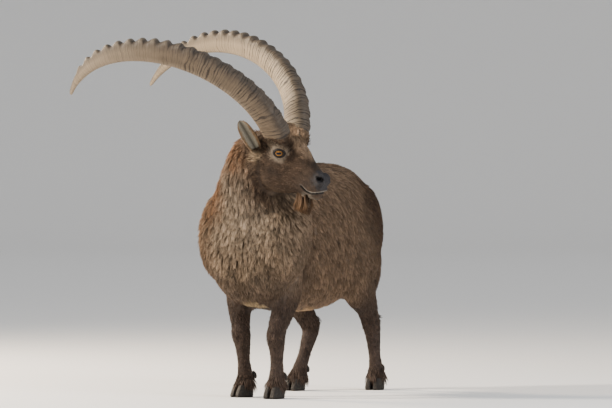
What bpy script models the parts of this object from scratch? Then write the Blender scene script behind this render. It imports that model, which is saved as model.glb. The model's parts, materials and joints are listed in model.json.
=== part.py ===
"""Adult male alpine ibex, standing with its head turned to its left, life size.

The animal faces -Y, its own left is +X and up is +Z, in metres. The forms of the body are laid one
over another, fused into one skin and parted by thin cuts into head, neck, trunk and legs.
"""

import math
import random

import bmesh
import bpy
import numpy as np
from mathutils import Euler, Matrix, Vector
from mathutils.bvhtree import BVHTree

# Clearance kept between touching pieces
GAP = 0.0003

# Fused skins and rounded cutters: grain of the fusing, rounds of smoothing and number of faces
SKIN_MESH = (0.0055, 6, 3700)
HEAD_MESH = (0.0032, 5, 1800)
HEAD_CUT_MESH = (0.006, 4, 500)
LEG_CUT_MESH = (0.008, 16, 300)

# Trunk and skull across: points of one ring, and how square it is
BARREL_SIDES = 28
BARREL_POWER = 0.86

# Angle between faces above which an edge stays sharp
SHARP_ANGLE = math.radians(40)

# Trunk: distance behind the forefeet, height of the top line, height of the underside, half width
TRUNK = (
    (-0.150, 0.640, 0.430, 0.070),
    (-0.110, 0.730, 0.375, 0.135),
    (-0.040, 0.810, 0.335, 0.170),
    (0.060, 0.862, 0.318, 0.178),
    (0.160, 0.866, 0.306, 0.184),
    (0.300, 0.850, 0.300, 0.196),
    (0.440, 0.846, 0.304, 0.198),
    (0.560, 0.850, 0.330, 0.178),
    (0.680, 0.838, 0.385, 0.146),
    (0.780, 0.800, 0.450, 0.115),
    (0.850, 0.735, 0.520, 0.075),
)

# Neck: centre and half thickness, from the shoulders to inside the skull
NECK = (
    ((-0.010, 0.090, 0.590), 0.190),
    ((-0.008, 0.010, 0.670), 0.168),
    ((0.012, -0.050, 0.750), 0.134),
    ((0.036, -0.095, 0.820), 0.110),
    ((0.064, -0.122, 0.870), 0.095),
    ((0.100, -0.132, 0.900), 0.078),
)

# Swellings of the throat and of the front of the neck: centre, half sizes and turn in degrees
NECK_SWELLS = (
    ((0.0, -0.040, 0.620), (0.135, 0.120, 0.170), (0, 0, 0)),
    ((0.010, -0.085, 0.720), (0.105, 0.075, 0.130), (20, 0, 0)),
)

# Cut between neck and trunk: a place on it, its tilt and its size
NECK_CUT_AT = (0.0, -0.005, 0.680)
NECK_CUT_TILT = math.radians(57.0)
NECK_CUT_SIZE = (0.70, 0.66)

# Block taken away under the coronets: width, length and depth below the floor
FOOT_BLOCK = (1.0, 1.6, 0.10)

# Head: where its own frame stands, and how the frame is turned, in degrees
HEAD_AT = Vector((0.184, -0.140, 0.906))
HEAD_YAW = -3.9
HEAD_PITCH = 29.9
HEAD_ROLL = 4.9

# Head in its own frame: distance ahead of the horns' roots, top, underside, half width
SKULL = (
    (-0.110, 0.006, -0.095, 0.045),
    (-0.075, 0.026, -0.145, 0.060),
    (-0.030, 0.036, -0.168, 0.066),
    (0.010, 0.046, -0.172, 0.066),
    (0.045, 0.052, -0.164, 0.058),
    (0.080, 0.040, -0.147, 0.046),
    (0.112, 0.021, -0.129, 0.038),
    (0.145, 0.004, -0.113, 0.035),
    (0.173, -0.007, -0.104, 0.034),
    (0.195, -0.015, -0.098, 0.031),
    (0.208, -0.030, -0.088, 0.022),
)

# Brow, cheek, root of the horn, nostril and lip of the left side in the head's own frame
HEAD_PAIRS = (
    ((0.014, 0.051, -0.008), (0.036, 0.0265, 0.032), (0, 0, 0)),
    ((0.000, 0.040, -0.092), (0.056, 0.024, 0.052), (0, 25, 0)),
    ((-0.008, 0.050, 0.030), (0.058, 0.034, 0.036), (0, 0, 0)),
    ((0.186, 0.019, -0.030), (0.025, 0.017, 0.022), (0, 25, 0)),
    ((0.176, 0.022, -0.070), (0.040, 0.014, 0.013), (0, -18, 0)),
)
CHIN = ((0.186, 0.0, -0.094), (0.029, 0.026, 0.016), (0, -10, 0))

# How far the cut round the head stands off the jaw, the sides and the top, how far it reaches ahead of
# the nose, and how its rounded back end is drawn in
HEAD_MARGIN = 0.008
HEAD_ASIDE = 0.020
HEAD_OVER = 0.032
HEAD_STRETCH = 1.15
HEAD_BACK = (0.006, 0.030, 0.010)

# Forelegs: centre line from the upper arm to the pastern, and half widths across and along
FORE_LINE = {
    "left": (
        (0.112, 0.040, 0.500),
        (0.106, 0.050, 0.410),
        (0.098, 0.022, 0.320),
        (0.088, -0.006, 0.255),
        (0.086, -0.014, 0.222),
        (0.083, -0.002, 0.185),
        (0.081, 0.004, 0.130),
        (0.080, 0.006, 0.072),
        (0.080, -0.004, 0.030),
    ),
    "right": (
        (-0.118, 0.075, 0.500),
        (-0.112, 0.095, 0.410),
        (-0.098, 0.070, 0.320),
        (-0.089, 0.058, 0.260),
        (-0.085, 0.052, 0.228),
        (-0.082, 0.060, 0.190),
        (-0.080, 0.064, 0.130),
        (-0.076, 0.070, 0.072),
        (-0.076, 0.058, 0.030),
    ),
}
FORE_GIRTH = (
    (0.066, 0.085),
    (0.056, 0.074),
    (0.045, 0.052),
    (0.036, 0.040),
    (0.037, 0.040),
    (0.030, 0.034),
    (0.024, 0.029),
    (0.030, 0.035),
    (0.029, 0.033),
)

# Hind legs: centre line from the hip to the pastern, and half widths across and along
HIND_LINE = {
    "left": (
        (0.105, 0.670, 0.640),
        (0.122, 0.600, 0.510),
        (0.126, 0.590, 0.420),
        (0.122, 0.690, 0.325),
        (0.110, 0.768, 0.240),
        (0.108, 0.786, 0.200),
        (0.113, 0.790, 0.130),
        (0.118, 0.792, 0.070),
        (0.121, 0.780, 0.030),
    ),
    "right": (
        (-0.105, 0.660, 0.640),
        (-0.124, 0.570, 0.510),
        (-0.128, 0.545, 0.420),
        (-0.115, 0.630, 0.310),
        (-0.103, 0.690, 0.235),
        (-0.104, 0.674, 0.195),
        (-0.110, 0.645, 0.130),
        (-0.117, 0.616, 0.070),
        (-0.120, 0.598, 0.030),
    ),
}
HIND_GIRTH = (
    (0.075, 0.150),
    (0.078, 0.150),
    (0.066, 0.110),
    (0.042, 0.060),
    (0.033, 0.042),
    (0.029, 0.036),
    (0.023, 0.029),
    (0.029, 0.035),
    (0.028, 0.033),
)
HOCK_POINT = {
    "left": (0.109, 0.812, 0.262),
    "right": (-0.103, 0.735, 0.250),
}

# Muscles of a left leg: distance from the midline, distance behind the top of the leg's line, height,
# half sizes and turn
SHOULDER = (
    ((0.131, -0.060, 0.590), (0.088, 0.126, 0.178), (-14, 0, 0)),
)
THIGH = (
    ((0.098, 0.030, 0.610), (0.076, 0.120, 0.175), (12, 0, 0)),
    ((0.112, 0.062, 0.470), (0.046, 0.080, 0.140), (-8, 0, 0)),
)
HOCK_SIZE = (0.019, 0.024, 0.034)
HOCK_TURN = (-18, 0, 0)

# Where a leg parts from the trunk: distance from the midline, distance behind the elbow or stifle,
# height, and half widths across and along of the rounded cut
FORE_SEAM = (
    ((0.150, -0.060, 0.640), (0.020, 0.030)),
    ((0.152, -0.058, 0.615), (0.065, 0.085)),
    ((0.150, -0.050, 0.560), (0.088, 0.120)),
    ((0.142, -0.030, 0.480), (0.092, 0.128)),
    ((0.126, -0.012, 0.400), (0.082, 0.112)),
    ((0.106, -0.015, 0.325), (0.070, 0.088)),
)
HIND_SEAM = (
    ((0.150, 0.105, 0.760), (0.020, 0.030)),
    ((0.152, 0.100, 0.735), (0.068, 0.085)),
    ((0.150, 0.085, 0.670), (0.094, 0.140)),
    ((0.148, 0.070, 0.580), (0.100, 0.180)),
    ((0.146, 0.062, 0.490), (0.096, 0.200)),
    ((0.142, 0.060, 0.410), (0.088, 0.190)),
    ((0.128, 0.080, 0.330), (0.078, 0.150)),
)
SEAM_MARGIN = 0.030

# Level cut between the upper and the lower part of a leg: its station, its size, and how far it lies
# behind the hock
LEG_JOINT = 4
JOINT_CUT = (0.150, 0.200)
HOCK_BACK = 0.010

# Hooves: height of the coronet, size of one claw, the slit between the two and how far the toe leads
CORONET = 0.044
CLAW_LENGTH = 0.078
CLAW_WIDTH = 0.032
CLAW_SLIT = 0.006
CLAW_LEAD = 0.012

# Claw at several heights: height, share of the width, share of the length, and how far it lies back
CLAW_LEVELS = (
    (0.0, 0.92, 0.94, 0.0),
    (0.007, 1.0, 1.0, 0.0),
    (0.024, 0.98, 0.90, 0.003),
    (CORONET, 0.92, 0.74, 0.008),
)
CLAW_POINTS = 10
CLAW_TOE = 0.28
TOE_TURN = {
    "fore_left": -8.0,
    "fore_right": -22.0,
    "hind_left": 4.0,
    "hind_right": -8.0,
}
DEWCLAW_HEIGHT = 0.080
DEWCLAW_SIZE = (0.009, 0.009, 0.015)
DEWCLAW_ASIDE = 0.015
DEWCLAW_BEHIND = 0.029
DEWCLAW_TILT = 24
DEWCLAW_RINGS = ((-1.0, 0.45), (-0.55, 0.90), (0.20, 1.0), (0.95, 0.45))

# Horns: length, half spacing of the roots, bend and spread along them in degrees, girth, how square
# they are front to back and across, how much wider the front is, and depth of the socket
HORN_LENGTH = 1.036
HORN_HALF_GAP = 0.037
HORN_START = 0.030
HORN_BEND = (21.2, 269.9, -317.6, 208.3)
HORN_SPREAD = (30.3, -16.8, -27.4)
HORN_DEPTH = 0.100
HORN_WIDTH = 0.065
HORN_TAPER = (1.0, 0.97, 0.93, 0.90, 0.86, 0.81, 0.75, 0.66, 0.53, 0.36, 0.13)
HORN_SQUARE = (0.80, 0.75)
HORN_WEDGE = (0.90, 0.22)
HORN_SIDES = 10
HORN_SOCKET = 0.20

# Knobs along the front of a horn: number, start and reach along it, height at the root and what they
# gain, where the gain begins and ends, length of the low end, and place of the crest in its knob
HORN_KNOBS = 20
KNOB_START = 0.055
KNOB_REACH = 0.865
KNOB_HEIGHT = 0.004
KNOB_GAIN = 0.009
KNOB_GROWS = (0.30, 0.65)
KNOB_FADE = 0.18
KNOB_CREST = 0.36
KNOB_FLARE = 3.0

# Ears: place of the root, the way they point and open, size, share of the width at even steps from the
# root to the tip, hollow, how far the tip bends back, and depth of the pocket in the skin
EAR_ROOT = (-0.066, 0.050, -0.058)
EAR_AIM = (-0.074, 0.078, 0.088)
EAR_FACE = (0.77, 0.64, 0.07)
EAR_LENGTH = 0.138
EAR_WIDTH = 0.052
EAR_THICKNESS = 0.004
EAR_SHARE = (0.490, 0.764, 0.932, 0.999, 0.959, 0.820, 0.570, 0.160)
EAR_CUP = 0.75
EAR_BEND = 0.016
EAR_COLUMNS = 6
EAR_POCKET = 0.60

# Eyes, with the opening between the lids, its near and far end, its flare and its pointed corners
EYE_RADIUS = 0.0200
EYE_AT = (0.015, 0.0535, -0.012)
EYE_AIM = (0.38, 0.92, 0.06)
LID_OPENING = (0.0180, 0.0135)
LID_REACH = (0.008, 0.040)
LID_FLARE = 6
LID_CORNER = 1.25
LID_SIDES = 16

# Nostrils and mouth, in the head's own frame
NOSTRIL_AT = (0.192, 0.028, -0.024)
NOSTRIL_SIZE = (0.019, 0.013, 0.0085)
NOSTRIL_TURN = (-20, 28, 38)
MOUTH = (
    (0.140, 0.040, -0.083),
    (0.163, 0.035, -0.091),
    (0.187, 0.030, -0.086),
    (0.204, 0.020, -0.074),
    (0.215, 0.000, -0.066),
)
MOUTH_WIDTH = 0.0026
MOUTH_STEPS = 24

# Tail: centre line and half widths
TAIL_LINE = (
    (0.0, 0.800, 0.752),
    (0.0, 0.852, 0.738),
    (0.0, 0.880, 0.700),
    (0.0, 0.889, 0.655),
    (0.0, 0.886, 0.605),
)
TAIL_GIRTH = (
    (0.026, 0.018),
    (0.028, 0.019),
    (0.027, 0.017),
    (0.020, 0.013),
    (0.007, 0.005),
)

# Locks of the winter coat: how far a root is sunk, how high the tip stands off, the thickness, the
# stations along one, and how much they differ in bend and in length
LOCK_ROOT = 0.013
LOCK_LIFT = 0.015
LOCK_THICKNESS = 0.0064
LOCK_STEPS = 4
LOCK_BEND = 0.30
LOCK_VARY = 0.12

# Tiers of the neck's locks: middle of the tier, number of locks, half arc in degrees, length, width
NECK_TIERS = (
    ((0.078, -0.122, 0.885), 5, 88.0, 0.088, 0.046),
    ((0.048, -0.100, 0.835), 6, 98.0, 0.092, 0.050),
    ((0.018, -0.060, 0.765), 7, 102.0, 0.096, 0.054),
    ((-0.004, -0.020, 0.690), 7, 82.0, 0.100, 0.058),
    ((0.000, 0.000, 0.610), 6, 58.0, 0.098, 0.058),
    ((0.000, 0.010, 0.530), 4, 34.0, 0.092, 0.056),
)

# Nape: places along the crest from the poll to the withers, and size of its locks
NAPE = (
    ((0.066, -0.120, 0.862), (0.0, 0.62, 0.78)),
    ((0.020, -0.050, 0.800), (0.0, 0.70, 0.71)),
    ((-0.006, 0.020, 0.720), (0.0, 0.66, 0.75)),
)
NAPE_COUNT = 7
NAPE_LENGTH = 0.085
NAPE_WIDTH = 0.040
NAPE_LIFT = 0.021
NAPE_SPREAD = 0.22

# Seed of the locks, how strongly they hang down, and how much of a lock must lie clear of the cut
LOCK_SEED = 7
LOCK_HANG = 0.9
LOCK_CLEAR = 0.45

# Beard: roots in the head's own frame, and its length
BEARD = (
    (0.162, -0.006, -0.099),
    (0.154, 0.010, -0.100),
    (0.144, -0.013, -0.101),
    (0.138, 0.005, -0.104),
    (0.126, -0.010, -0.106),
    (0.120, 0.010, -0.108),
)
BEARD_LENGTH = 0.080
BEARD_WIDTH = 0.029
BEARD_SPREAD = 5

# Locks of the tail: number, where they grow along it, how far out, and their size
TAIL_LOCKS = 5
TAIL_LOCK_AT = 0.45
TAIL_LOCK_OUT = 0.012
TAIL_LOCK_LENGTH = 0.085
TAIL_LOCK_WIDTH = 0.024

# Feet, each with the line of its leg
FEET = (
    ("fore_left", FORE_LINE["left"]),
    ("fore_right", FORE_LINE["right"]),
    ("hind_left", HIND_LINE["left"]),
    ("hind_right", HIND_LINE["right"]),
)

# The two sides of the animal
SIDES = ((-1, "right"), (1, "left"))

# Finishes: name, colour and roughness
HOOF = ("hoof horn", (0.060, 0.050, 0.042), 0.55)
HORN = ("horn", (0.420, 0.340, 0.240), 0.60)
COAT = ("brown coat", (0.230, 0.150, 0.090), 0.90)
DARK_COAT = ("dark leg coat", (0.090, 0.058, 0.040), 0.90)
EYE = ("eye", (0.350, 0.190, 0.060), 0.15)
EAR = ("ear", (0.360, 0.310, 0.260), 0.90)


def clear_scene():
    """Remove every object of the open scene."""
    for thing in list(bpy.data.objects):
        bpy.data.objects.remove(thing, do_unlink=True)


def material(name, colour, roughness):
    """Return a plain Principled material."""
    made = bpy.data.materials.new(name)
    made.use_nodes = True
    shader = made.node_tree.nodes["Principled BSDF"]
    shader.inputs["Base Color"].default_value = (*colour, 1.0)
    shader.inputs["Roughness"].default_value = roughness
    shader.inputs["Metallic"].default_value = 0.0
    return made


def new_object(name, bm):
    """Turn a bmesh into an object of the scene."""
    mesh = bpy.data.meshes.new(name)
    bm.to_mesh(mesh)
    bm.free()
    thing = bpy.data.objects.new(name, mesh)
    bpy.context.scene.collection.objects.link(thing)
    return thing


def remove(things):
    """Remove helper objects from the scene."""
    for thing in things:
        bpy.data.objects.remove(thing, do_unlink=True)


def evaluated(thing, name):
    """Return a new object holding the mesh of another with its modifiers applied."""
    depsgraph = bpy.context.evaluated_depsgraph_get()
    mesh = bpy.data.meshes.new_from_object(thing.evaluated_get(depsgraph))
    mesh.name = name
    result = bpy.data.objects.new(name, mesh)
    bpy.context.scene.collection.objects.link(result)
    bpy.data.objects.remove(thing, do_unlink=True)
    return result


def spline_at(points, t):
    """Return the point at t, from 0 to 1, of a smooth curve through the points."""
    rows = [np.asarray(row, dtype=float) for row in points]
    place = t * (len(rows) - 1)
    k = min(int(place), len(rows) - 2)
    f = place - k
    a = rows[max(k - 1, 0)]
    b = rows[k]
    c = rows[k + 1]
    d = rows[min(k + 2, len(rows) - 1)]
    square = 2 * a - 5 * b + 4 * c - d
    cube = 3 * b - a - 3 * c + d
    return 0.5 * (2 * b + (c - a) * f + square * f**2 + cube * f**3)


def add_rings(bm, rings):
    """Skin closed rings of points in order and close both ends with a fan."""
    loops = [[bm.verts.new(point) for point in ring] for ring in rings]
    sides = len(rings[0])
    for low, high in zip(loops, loops[1:]):
        for i in range(sides):
            j = (i + 1) % sides
            bm.faces.new((low[i], low[j], high[j]))
            bm.faces.new((low[i], high[j], high[i]))
    for loop, flip in ((loops[0], True), (loops[-1], False)):
        centre = bm.verts.new(sum((v.co for v in loop), Vector()) / sides)
        for i in range(sides):
            j = (i + 1) % sides
            corners = (centre, loop[j], loop[i]) if flip else (centre, loop[i], loop[j])
            bm.faces.new(corners)
    return loops


def add_barrel(bm, stations, axis, frame=Matrix()):
    """Skin a body of stations (along, top, underside, half width) along the Y or X axis."""
    steps = 3 * (len(stations) - 1)
    rings = []
    for step in range(steps + 1):
        along, top, low, half = spline_at(stations, step / steps)
        ring = []
        for k in range(BARREL_SIDES):
            angle = 2 * math.pi * k / BARREL_SIDES
            c = math.cos(angle)
            s = math.sin(angle)
            across = half * math.copysign(abs(c) ** BARREL_POWER, c)
            up = (top + low) / 2 + (top - low) / 2 * math.copysign(abs(s) ** BARREL_POWER, s)
            spot = (-across, along, up) if axis == "Y" else (along, across, up)
            ring.append(frame @ Vector(spot))
        rings.append(ring)
    add_rings(bm, rings)


def add_limb(bm, line, girth, sides=16, steps=3):
    """Skin a limb along a line of centres, with half widths across X and along the walk."""
    count = steps * (len(line) - 1)
    rings = []
    for step in range(count + 1):
        t = step / count
        centre = Vector(spline_at(line, t))
        across, along = spline_at(girth, t)
        ahead = Vector(spline_at(line, min(t + 0.02, 1.0)))
        behind = Vector(spline_at(line, max(t - 0.02, 0.0)))
        tangent = (ahead - behind).normalized()
        side = Vector((1, 0, 0))
        fore = side.cross(tangent).normalized()
        side = tangent.cross(fore)
        ring = []
        for k in range(sides):
            angle = 2 * math.pi * k / sides
            out = side * (across * math.cos(angle)) + fore * (along * math.sin(angle))
            ring.append(centre + out)
        rings.append(ring)
    add_rings(bm, rings)


def add_ball(bm, centre, radii, turn, frame=Matrix()):
    """Add an ellipsoid at a centre, turned by degrees about X, Y and Z."""
    spin = Euler([math.radians(a) for a in turn]).to_matrix().to_4x4()
    place = frame @ Matrix.Translation(centre) @ spin @ Matrix.Diagonal((*radii, 1.0))
    bmesh.ops.create_icosphere(bm, subdivisions=3, radius=1.0, matrix=place)


def fuse(bm, name, voxel, smooth, faces):
    """Fuse overlapping closed forms into one smooth skin of about the given number of faces."""
    bmesh.ops.recalc_face_normals(bm, faces=bm.faces[:])
    rough = new_object(name, bm)
    remesh = rough.modifiers.new("fuse", "REMESH")
    remesh.mode = "VOXEL"
    remesh.voxel_size = voxel
    rough = evaluated(rough, name)
    soften = rough.modifiers.new("soften", "SMOOTH")
    soften.factor = 0.5
    soften.iterations = smooth
    fewer = rough.modifiers.new("fewer", "DECIMATE")
    fewer.ratio = min(1.0, faces / (2.0 * len(rough.data.polygons)))
    fewer.use_collapse_triangulate = True
    return evaluated(rough, name)


def combine(thing, others, operation, name, solver="EXACT"):
    """Cut or join an object with a list of closed objects, which are removed afterwards."""
    group = bpy.data.collections.new("operands")
    bpy.context.scene.collection.children.link(group)
    for other in others:
        group.objects.link(other)
    change = thing.modifiers.new("change", "BOOLEAN")
    change.operation = operation
    change.operand_type = "COLLECTION"
    change.collection = group
    change.solver = solver
    result = evaluated(thing, name)
    remove(others)
    bpy.data.collections.remove(group)
    return result


def loose_parts(thing):
    """Split an object into bmeshes, one for each connected surface, largest first."""
    bm = bmesh.new()
    bm.from_mesh(thing.data)
    bmesh.ops.triangulate(bm, faces=bm.faces[:])
    seen = set()
    groups = []
    for start in bm.verts:
        if start in seen:
            continue
        seen.add(start)
        heap = [start]
        group = []
        while heap:
            vert = heap.pop()
            group.append(vert)
            for edge in vert.link_edges:
                other = edge.other_vert(vert)
                if other not in seen:
                    seen.add(other)
                    heap.append(other)
        groups.append(group)
    parts = []
    for group in sorted(groups, key=len, reverse=True):
        part = bmesh.new()
        copies = {vert: part.verts.new(vert.co) for vert in group}
        for face in {face for vert in group for face in vert.link_faces}:
            part.faces.new([copies[vert] for vert in face.verts])
        parts.append(part)
    bm.free()
    return parts


def middle(bm):
    """Return the middle of a bmesh's box."""
    spots = np.array([vert.co for vert in bm.verts])
    return Vector((spots.min(axis=0) + spots.max(axis=0)) / 2)


def head_frame():
    """Return the matrix from the head's own frame to the world."""
    yaw = Matrix.Rotation(math.radians(HEAD_YAW), 4, "Z")
    pitch = Matrix.Rotation(math.radians(HEAD_PITCH), 4, "Y")
    roll = Matrix.Rotation(math.radians(HEAD_ROLL), 4, "X")
    return Matrix.Translation(HEAD_AT) @ yaw @ pitch @ roll


def add_neck(bm):
    """Add the forms of the neck and of its front."""
    line = [row[0] for row in NECK]
    girth = [(row[1], row[1]) for row in NECK]
    add_limb(bm, line, girth, sides=24)
    for ball in NECK_SWELLS:
        add_ball(bm, *ball)


def add_head(bm, frame):
    """Add the forms of the head in its own frame."""
    add_barrel(bm, SKULL, "X", frame)
    for side in (-1, 1):
        for (ahead, aside, up), radii, turn in HEAD_PAIRS:
            add_ball(bm, (ahead, side * aside, up), radii, turn, frame)
    add_ball(bm, *CHIN, frame)


def add_legs(bm):
    """Add the forms of the four legs, with the muscles that carry them."""
    for side, turn in (("left", 1), ("right", -1)):
        add_limb(bm, FORE_LINE[side], FORE_GIRTH)
        add_limb(bm, HIND_LINE[side], HIND_GIRTH)
        for top, muscles in ((FORE_LINE[side][0], SHOULDER), (HIND_LINE[side][0], THIGH)):
            for (aside, behind, up), radii, tilt in muscles:
                add_ball(bm, (turn * aside, top[1] + behind, up), radii, tilt)
        add_ball(bm, HOCK_POINT[side], HOCK_SIZE, HOCK_TURN)


def body_forms():
    """Return the overlapping forms of the whole animal."""
    bm = bmesh.new()
    add_neck(bm)
    add_head(bm, head_frame())
    add_barrel(bm, TRUNK, "Y")
    add_legs(bm)
    return bm


def slab(centre, size, tilt=0.0):
    """Return a thin box that parts the skin, tilted about X."""
    bm = bmesh.new()
    spin = Matrix.Rotation(tilt, 4, "X")
    place = Matrix.Translation(centre) @ spin @ Matrix.Diagonal((*size, 1.0))
    bmesh.ops.create_cube(bm, size=1.0, matrix=place)
    return new_object("slab", bm)


def head_cutter():
    """Return the form that takes the head out of the neck, close behind its jaws and poll."""
    bm = bmesh.new()
    rows = []
    for along, top, low, half in SKULL:
        row = (along * HEAD_STRETCH, top + HEAD_OVER, low - HEAD_MARGIN, half + HEAD_ASIDE)
        rows.append(row)
    behind, up, narrow = HEAD_BACK
    _, top, low, half = SKULL[0]
    rows.insert(0, (rows[0][0] - behind, top, low + up, half - narrow))
    add_barrel(bm, rows, "X", head_frame())
    return fuse(bm, "head_cutter", *HEAD_CUT_MESH)


def body_slabs():
    """Return the cut that parts neck and trunk, and the block that levels the legs over the hooves."""
    depth = CORONET + GAP + FOOT_BLOCK[2]
    middle_of_feet = (0.0, FOOT_BLOCK[1] / 4, CORONET + GAP - depth / 2)
    return [
        slab(NECK_CUT_AT, (*NECK_CUT_SIZE, GAP), NECK_CUT_TILT),
        slab(middle_of_feet, (FOOT_BLOCK[0], FOOT_BLOCK[1], depth)),
    ]


def leg_cutter(seam, turn, line, girth):
    """Return the rounded form that takes one leg out of the skin, with its muscles at the top."""
    rows = [Vector((turn * x, line[1][1] + y, z)) for (x, y, z), _ in seam]
    wide = [half for _, half in seam]
    for place, (across, along) in zip(line, girth):
        if place[2] < seam[-1][0][2] - SEAM_MARGIN:
            rows.append(Vector(place))
            wide.append((across + SEAM_MARGIN, along + 2 * SEAM_MARGIN))
    rows.append(rows[-1] - Vector((0, 0, 2 * SEAM_MARGIN)))
    wide.append(wide[-1])
    bm = bmesh.new()
    add_limb(bm, rows, wide, steps=2)
    return fuse(bm, "leg_cutter", *LEG_CUT_MESH)


def drawn_in(thing, distance):
    """Return a copy of an object whose every face lies deeper by at least the distance."""
    bm = bmesh.new()
    bm.from_mesh(thing.data)
    moves = []
    for vert in bm.verts:
        lean = min(vert.normal.dot(face.normal) for face in vert.link_faces)
        moves.append(vert.normal * (distance / max(lean, 0.3)))
    for vert, move in zip(bm.verts, moves):
        vert.co -= move
    return new_object(thing.name, bm)


def horn_ring(side, s, grow):
    """Return one ring of a horn, at s from 0 at its root to 1 at its tip, in the head's frame."""
    steps = 60
    spot = Vector((0.0, side * HORN_HALF_GAP, 0.0))
    for k in range(steps):
        bend, spread = horn_angles(s * (k + 0.5) / steps)
        ahead, _, _ = horn_axes(side, bend, spread)
        spot += ahead * (HORN_LENGTH * s / steps)
    bend, spread = horn_angles(s)
    _, front, out = horn_axes(side, bend, spread)
    taper = float(spline_at([(t,) for t in HORN_TAPER], s)[0])
    deep = HORN_DEPTH / 2 * taper + grow
    wide = HORN_WIDTH / 2 * taper + grow
    knob = horn_knob(s)
    ring = []
    for k in range(HORN_SIDES):
        angle = 2 * math.pi * (k + 0.5) / HORN_SIDES
        c = math.cos(angle)
        n = math.sin(angle)
        ahead_by = deep * math.copysign(abs(c) ** HORN_SQUARE[0], c)
        aside = wide * math.copysign(abs(n) ** HORN_SQUARE[1], n)
        aside *= HORN_WEDGE[0] + HORN_WEDGE[1] * c
        if c > 0.5:
            ahead_by += knob
            aside *= 1 + KNOB_FLARE * knob
        ring.append(spot + front * ahead_by + out * aside)
    return ring


def horn_angles(s):
    """Return the bend back and the spread to the side at s along a horn, in radians."""
    bend = sum(k * s**n for n, k in enumerate(HORN_BEND))
    spread = sum(k * s**n for n, k in enumerate(HORN_SPREAD))
    return math.radians(bend), math.radians(spread)


def horn_axes(side, bend, spread):
    """Return the unit vectors along a horn, to its front and to its outer side."""
    ahead = Vector((
        -math.sin(bend) * math.cos(spread),
        side * math.sin(spread),
        math.cos(bend) * math.cos(spread),
    ))
    front = Vector((math.cos(bend), 0.0, math.sin(bend)))
    return ahead, front, ahead.cross(front) * -side


def horn_knob(s):
    """Return how far the front of a horn stands out at s: knobs, low at the root and high beyond it."""
    place = HORN_KNOBS * (s - KNOB_START) / KNOB_REACH
    if place < 0 or place > HORN_KNOBS:
        return 0.0
    grown = (s - KNOB_GROWS[0]) / (KNOB_GROWS[1] - KNOB_GROWS[0])
    grown = min(1.0, max(0.0, grown))
    height = KNOB_HEIGHT + KNOB_GAIN * grown * grown * (3 - 2 * grown)
    height *= min(1.0, (1.0 - s) / KNOB_FADE)
    within = place % 1.0
    if within < KNOB_CREST:
        return height * within / KNOB_CREST
    return height * (1.0 - within) / (1.0 - KNOB_CREST)


def horn_steps():
    """Return the places of a horn's rings: foot and crest of every knob, then the plain tip."""
    steps = [HORN_START]
    for k in range(HORN_KNOBS):
        for within in (0.0, KNOB_CREST):
            steps.append(KNOB_START + KNOB_REACH * (k + within) / HORN_KNOBS)
    end = KNOB_START + KNOB_REACH
    return steps + [end, (end + 1.0) / 2, 1.0]


def make_horn(name, side, grow=0.0, last=1.0):
    """Return one horn, or its socket when grown and cut short at last."""
    bm = bmesh.new()
    frame = head_frame()
    steps = [s for s in horn_steps() if s <= last]
    if grow:
        steps[0] -= grow / HORN_LENGTH
    rings = []
    for s in steps:
        rings.append([frame @ spot for spot in horn_ring(side, s, grow)])
    add_rings(bm, rings)
    bmesh.ops.recalc_face_normals(bm, faces=bm.faces[:])
    return new_object(name, bm)


def make_ear(name, side, grow=0.0, last=1.0):
    """Return one cupped ear, or the pocket for its root when grown and cut short at last."""
    frame = head_frame()
    root = Vector((EAR_ROOT[0], side * EAR_ROOT[1], EAR_ROOT[2]))
    aim = Vector((EAR_AIM[0], side * EAR_AIM[1], EAR_AIM[2])).normalized()
    face = Vector((EAR_FACE[0], side * EAR_FACE[1], EAR_FACE[2]))
    face = (face - aim * face.dot(aim)).normalized()
    across = aim.cross(face)
    columns = EAR_COLUMNS
    rings = []
    for row, share in enumerate(EAR_SHARE):
        t = row / (len(EAR_SHARE) - 1)
        if t > last:
            break
        half = EAR_WIDTH / 2 * share
        cup = EAR_CUP * half * (1.0 - 0.35 * t)
        thick = EAR_THICKNESS * (1.9 - 1.2 * t)
        centre = root + aim * (EAR_LENGTH * t - grow * (row == 0)) - face * (EAR_BEND * t * t)
        ring = []
        for k in range(columns + 1):
            v = 2 * k / columns - 1
            ring.append(centre + across * (v * half) + face * (cup * v * v + 2 * grow))
        for k in range(columns, -1, -1):
            v = 2 * k / columns - 1
            bow = face * (cup * v * v - thick * (1.35 - 0.9 * v * v) - grow)
            ring.append(centre + across * (v * (half + thick * 0.4 + grow)) + bow)
        rings.append([frame @ spot for spot in ring])
    bm = bmesh.new()
    add_rings(bm, rings)
    bmesh.ops.recalc_face_normals(bm, faces=bm.faces[:])
    return new_object(name, bm)


def make_eye(name, side, grow=0.0):
    """Return one eyeball, or the hollow it sits in when grown."""
    bm = bmesh.new()
    centre = head_frame() @ Vector((EYE_AT[0], side * EYE_AT[1], EYE_AT[2]))
    place = Matrix.Translation(centre)
    bmesh.ops.create_icosphere(bm, subdivisions=2, radius=EYE_RADIUS + grow, matrix=place)
    return new_object(name, bm)


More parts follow.
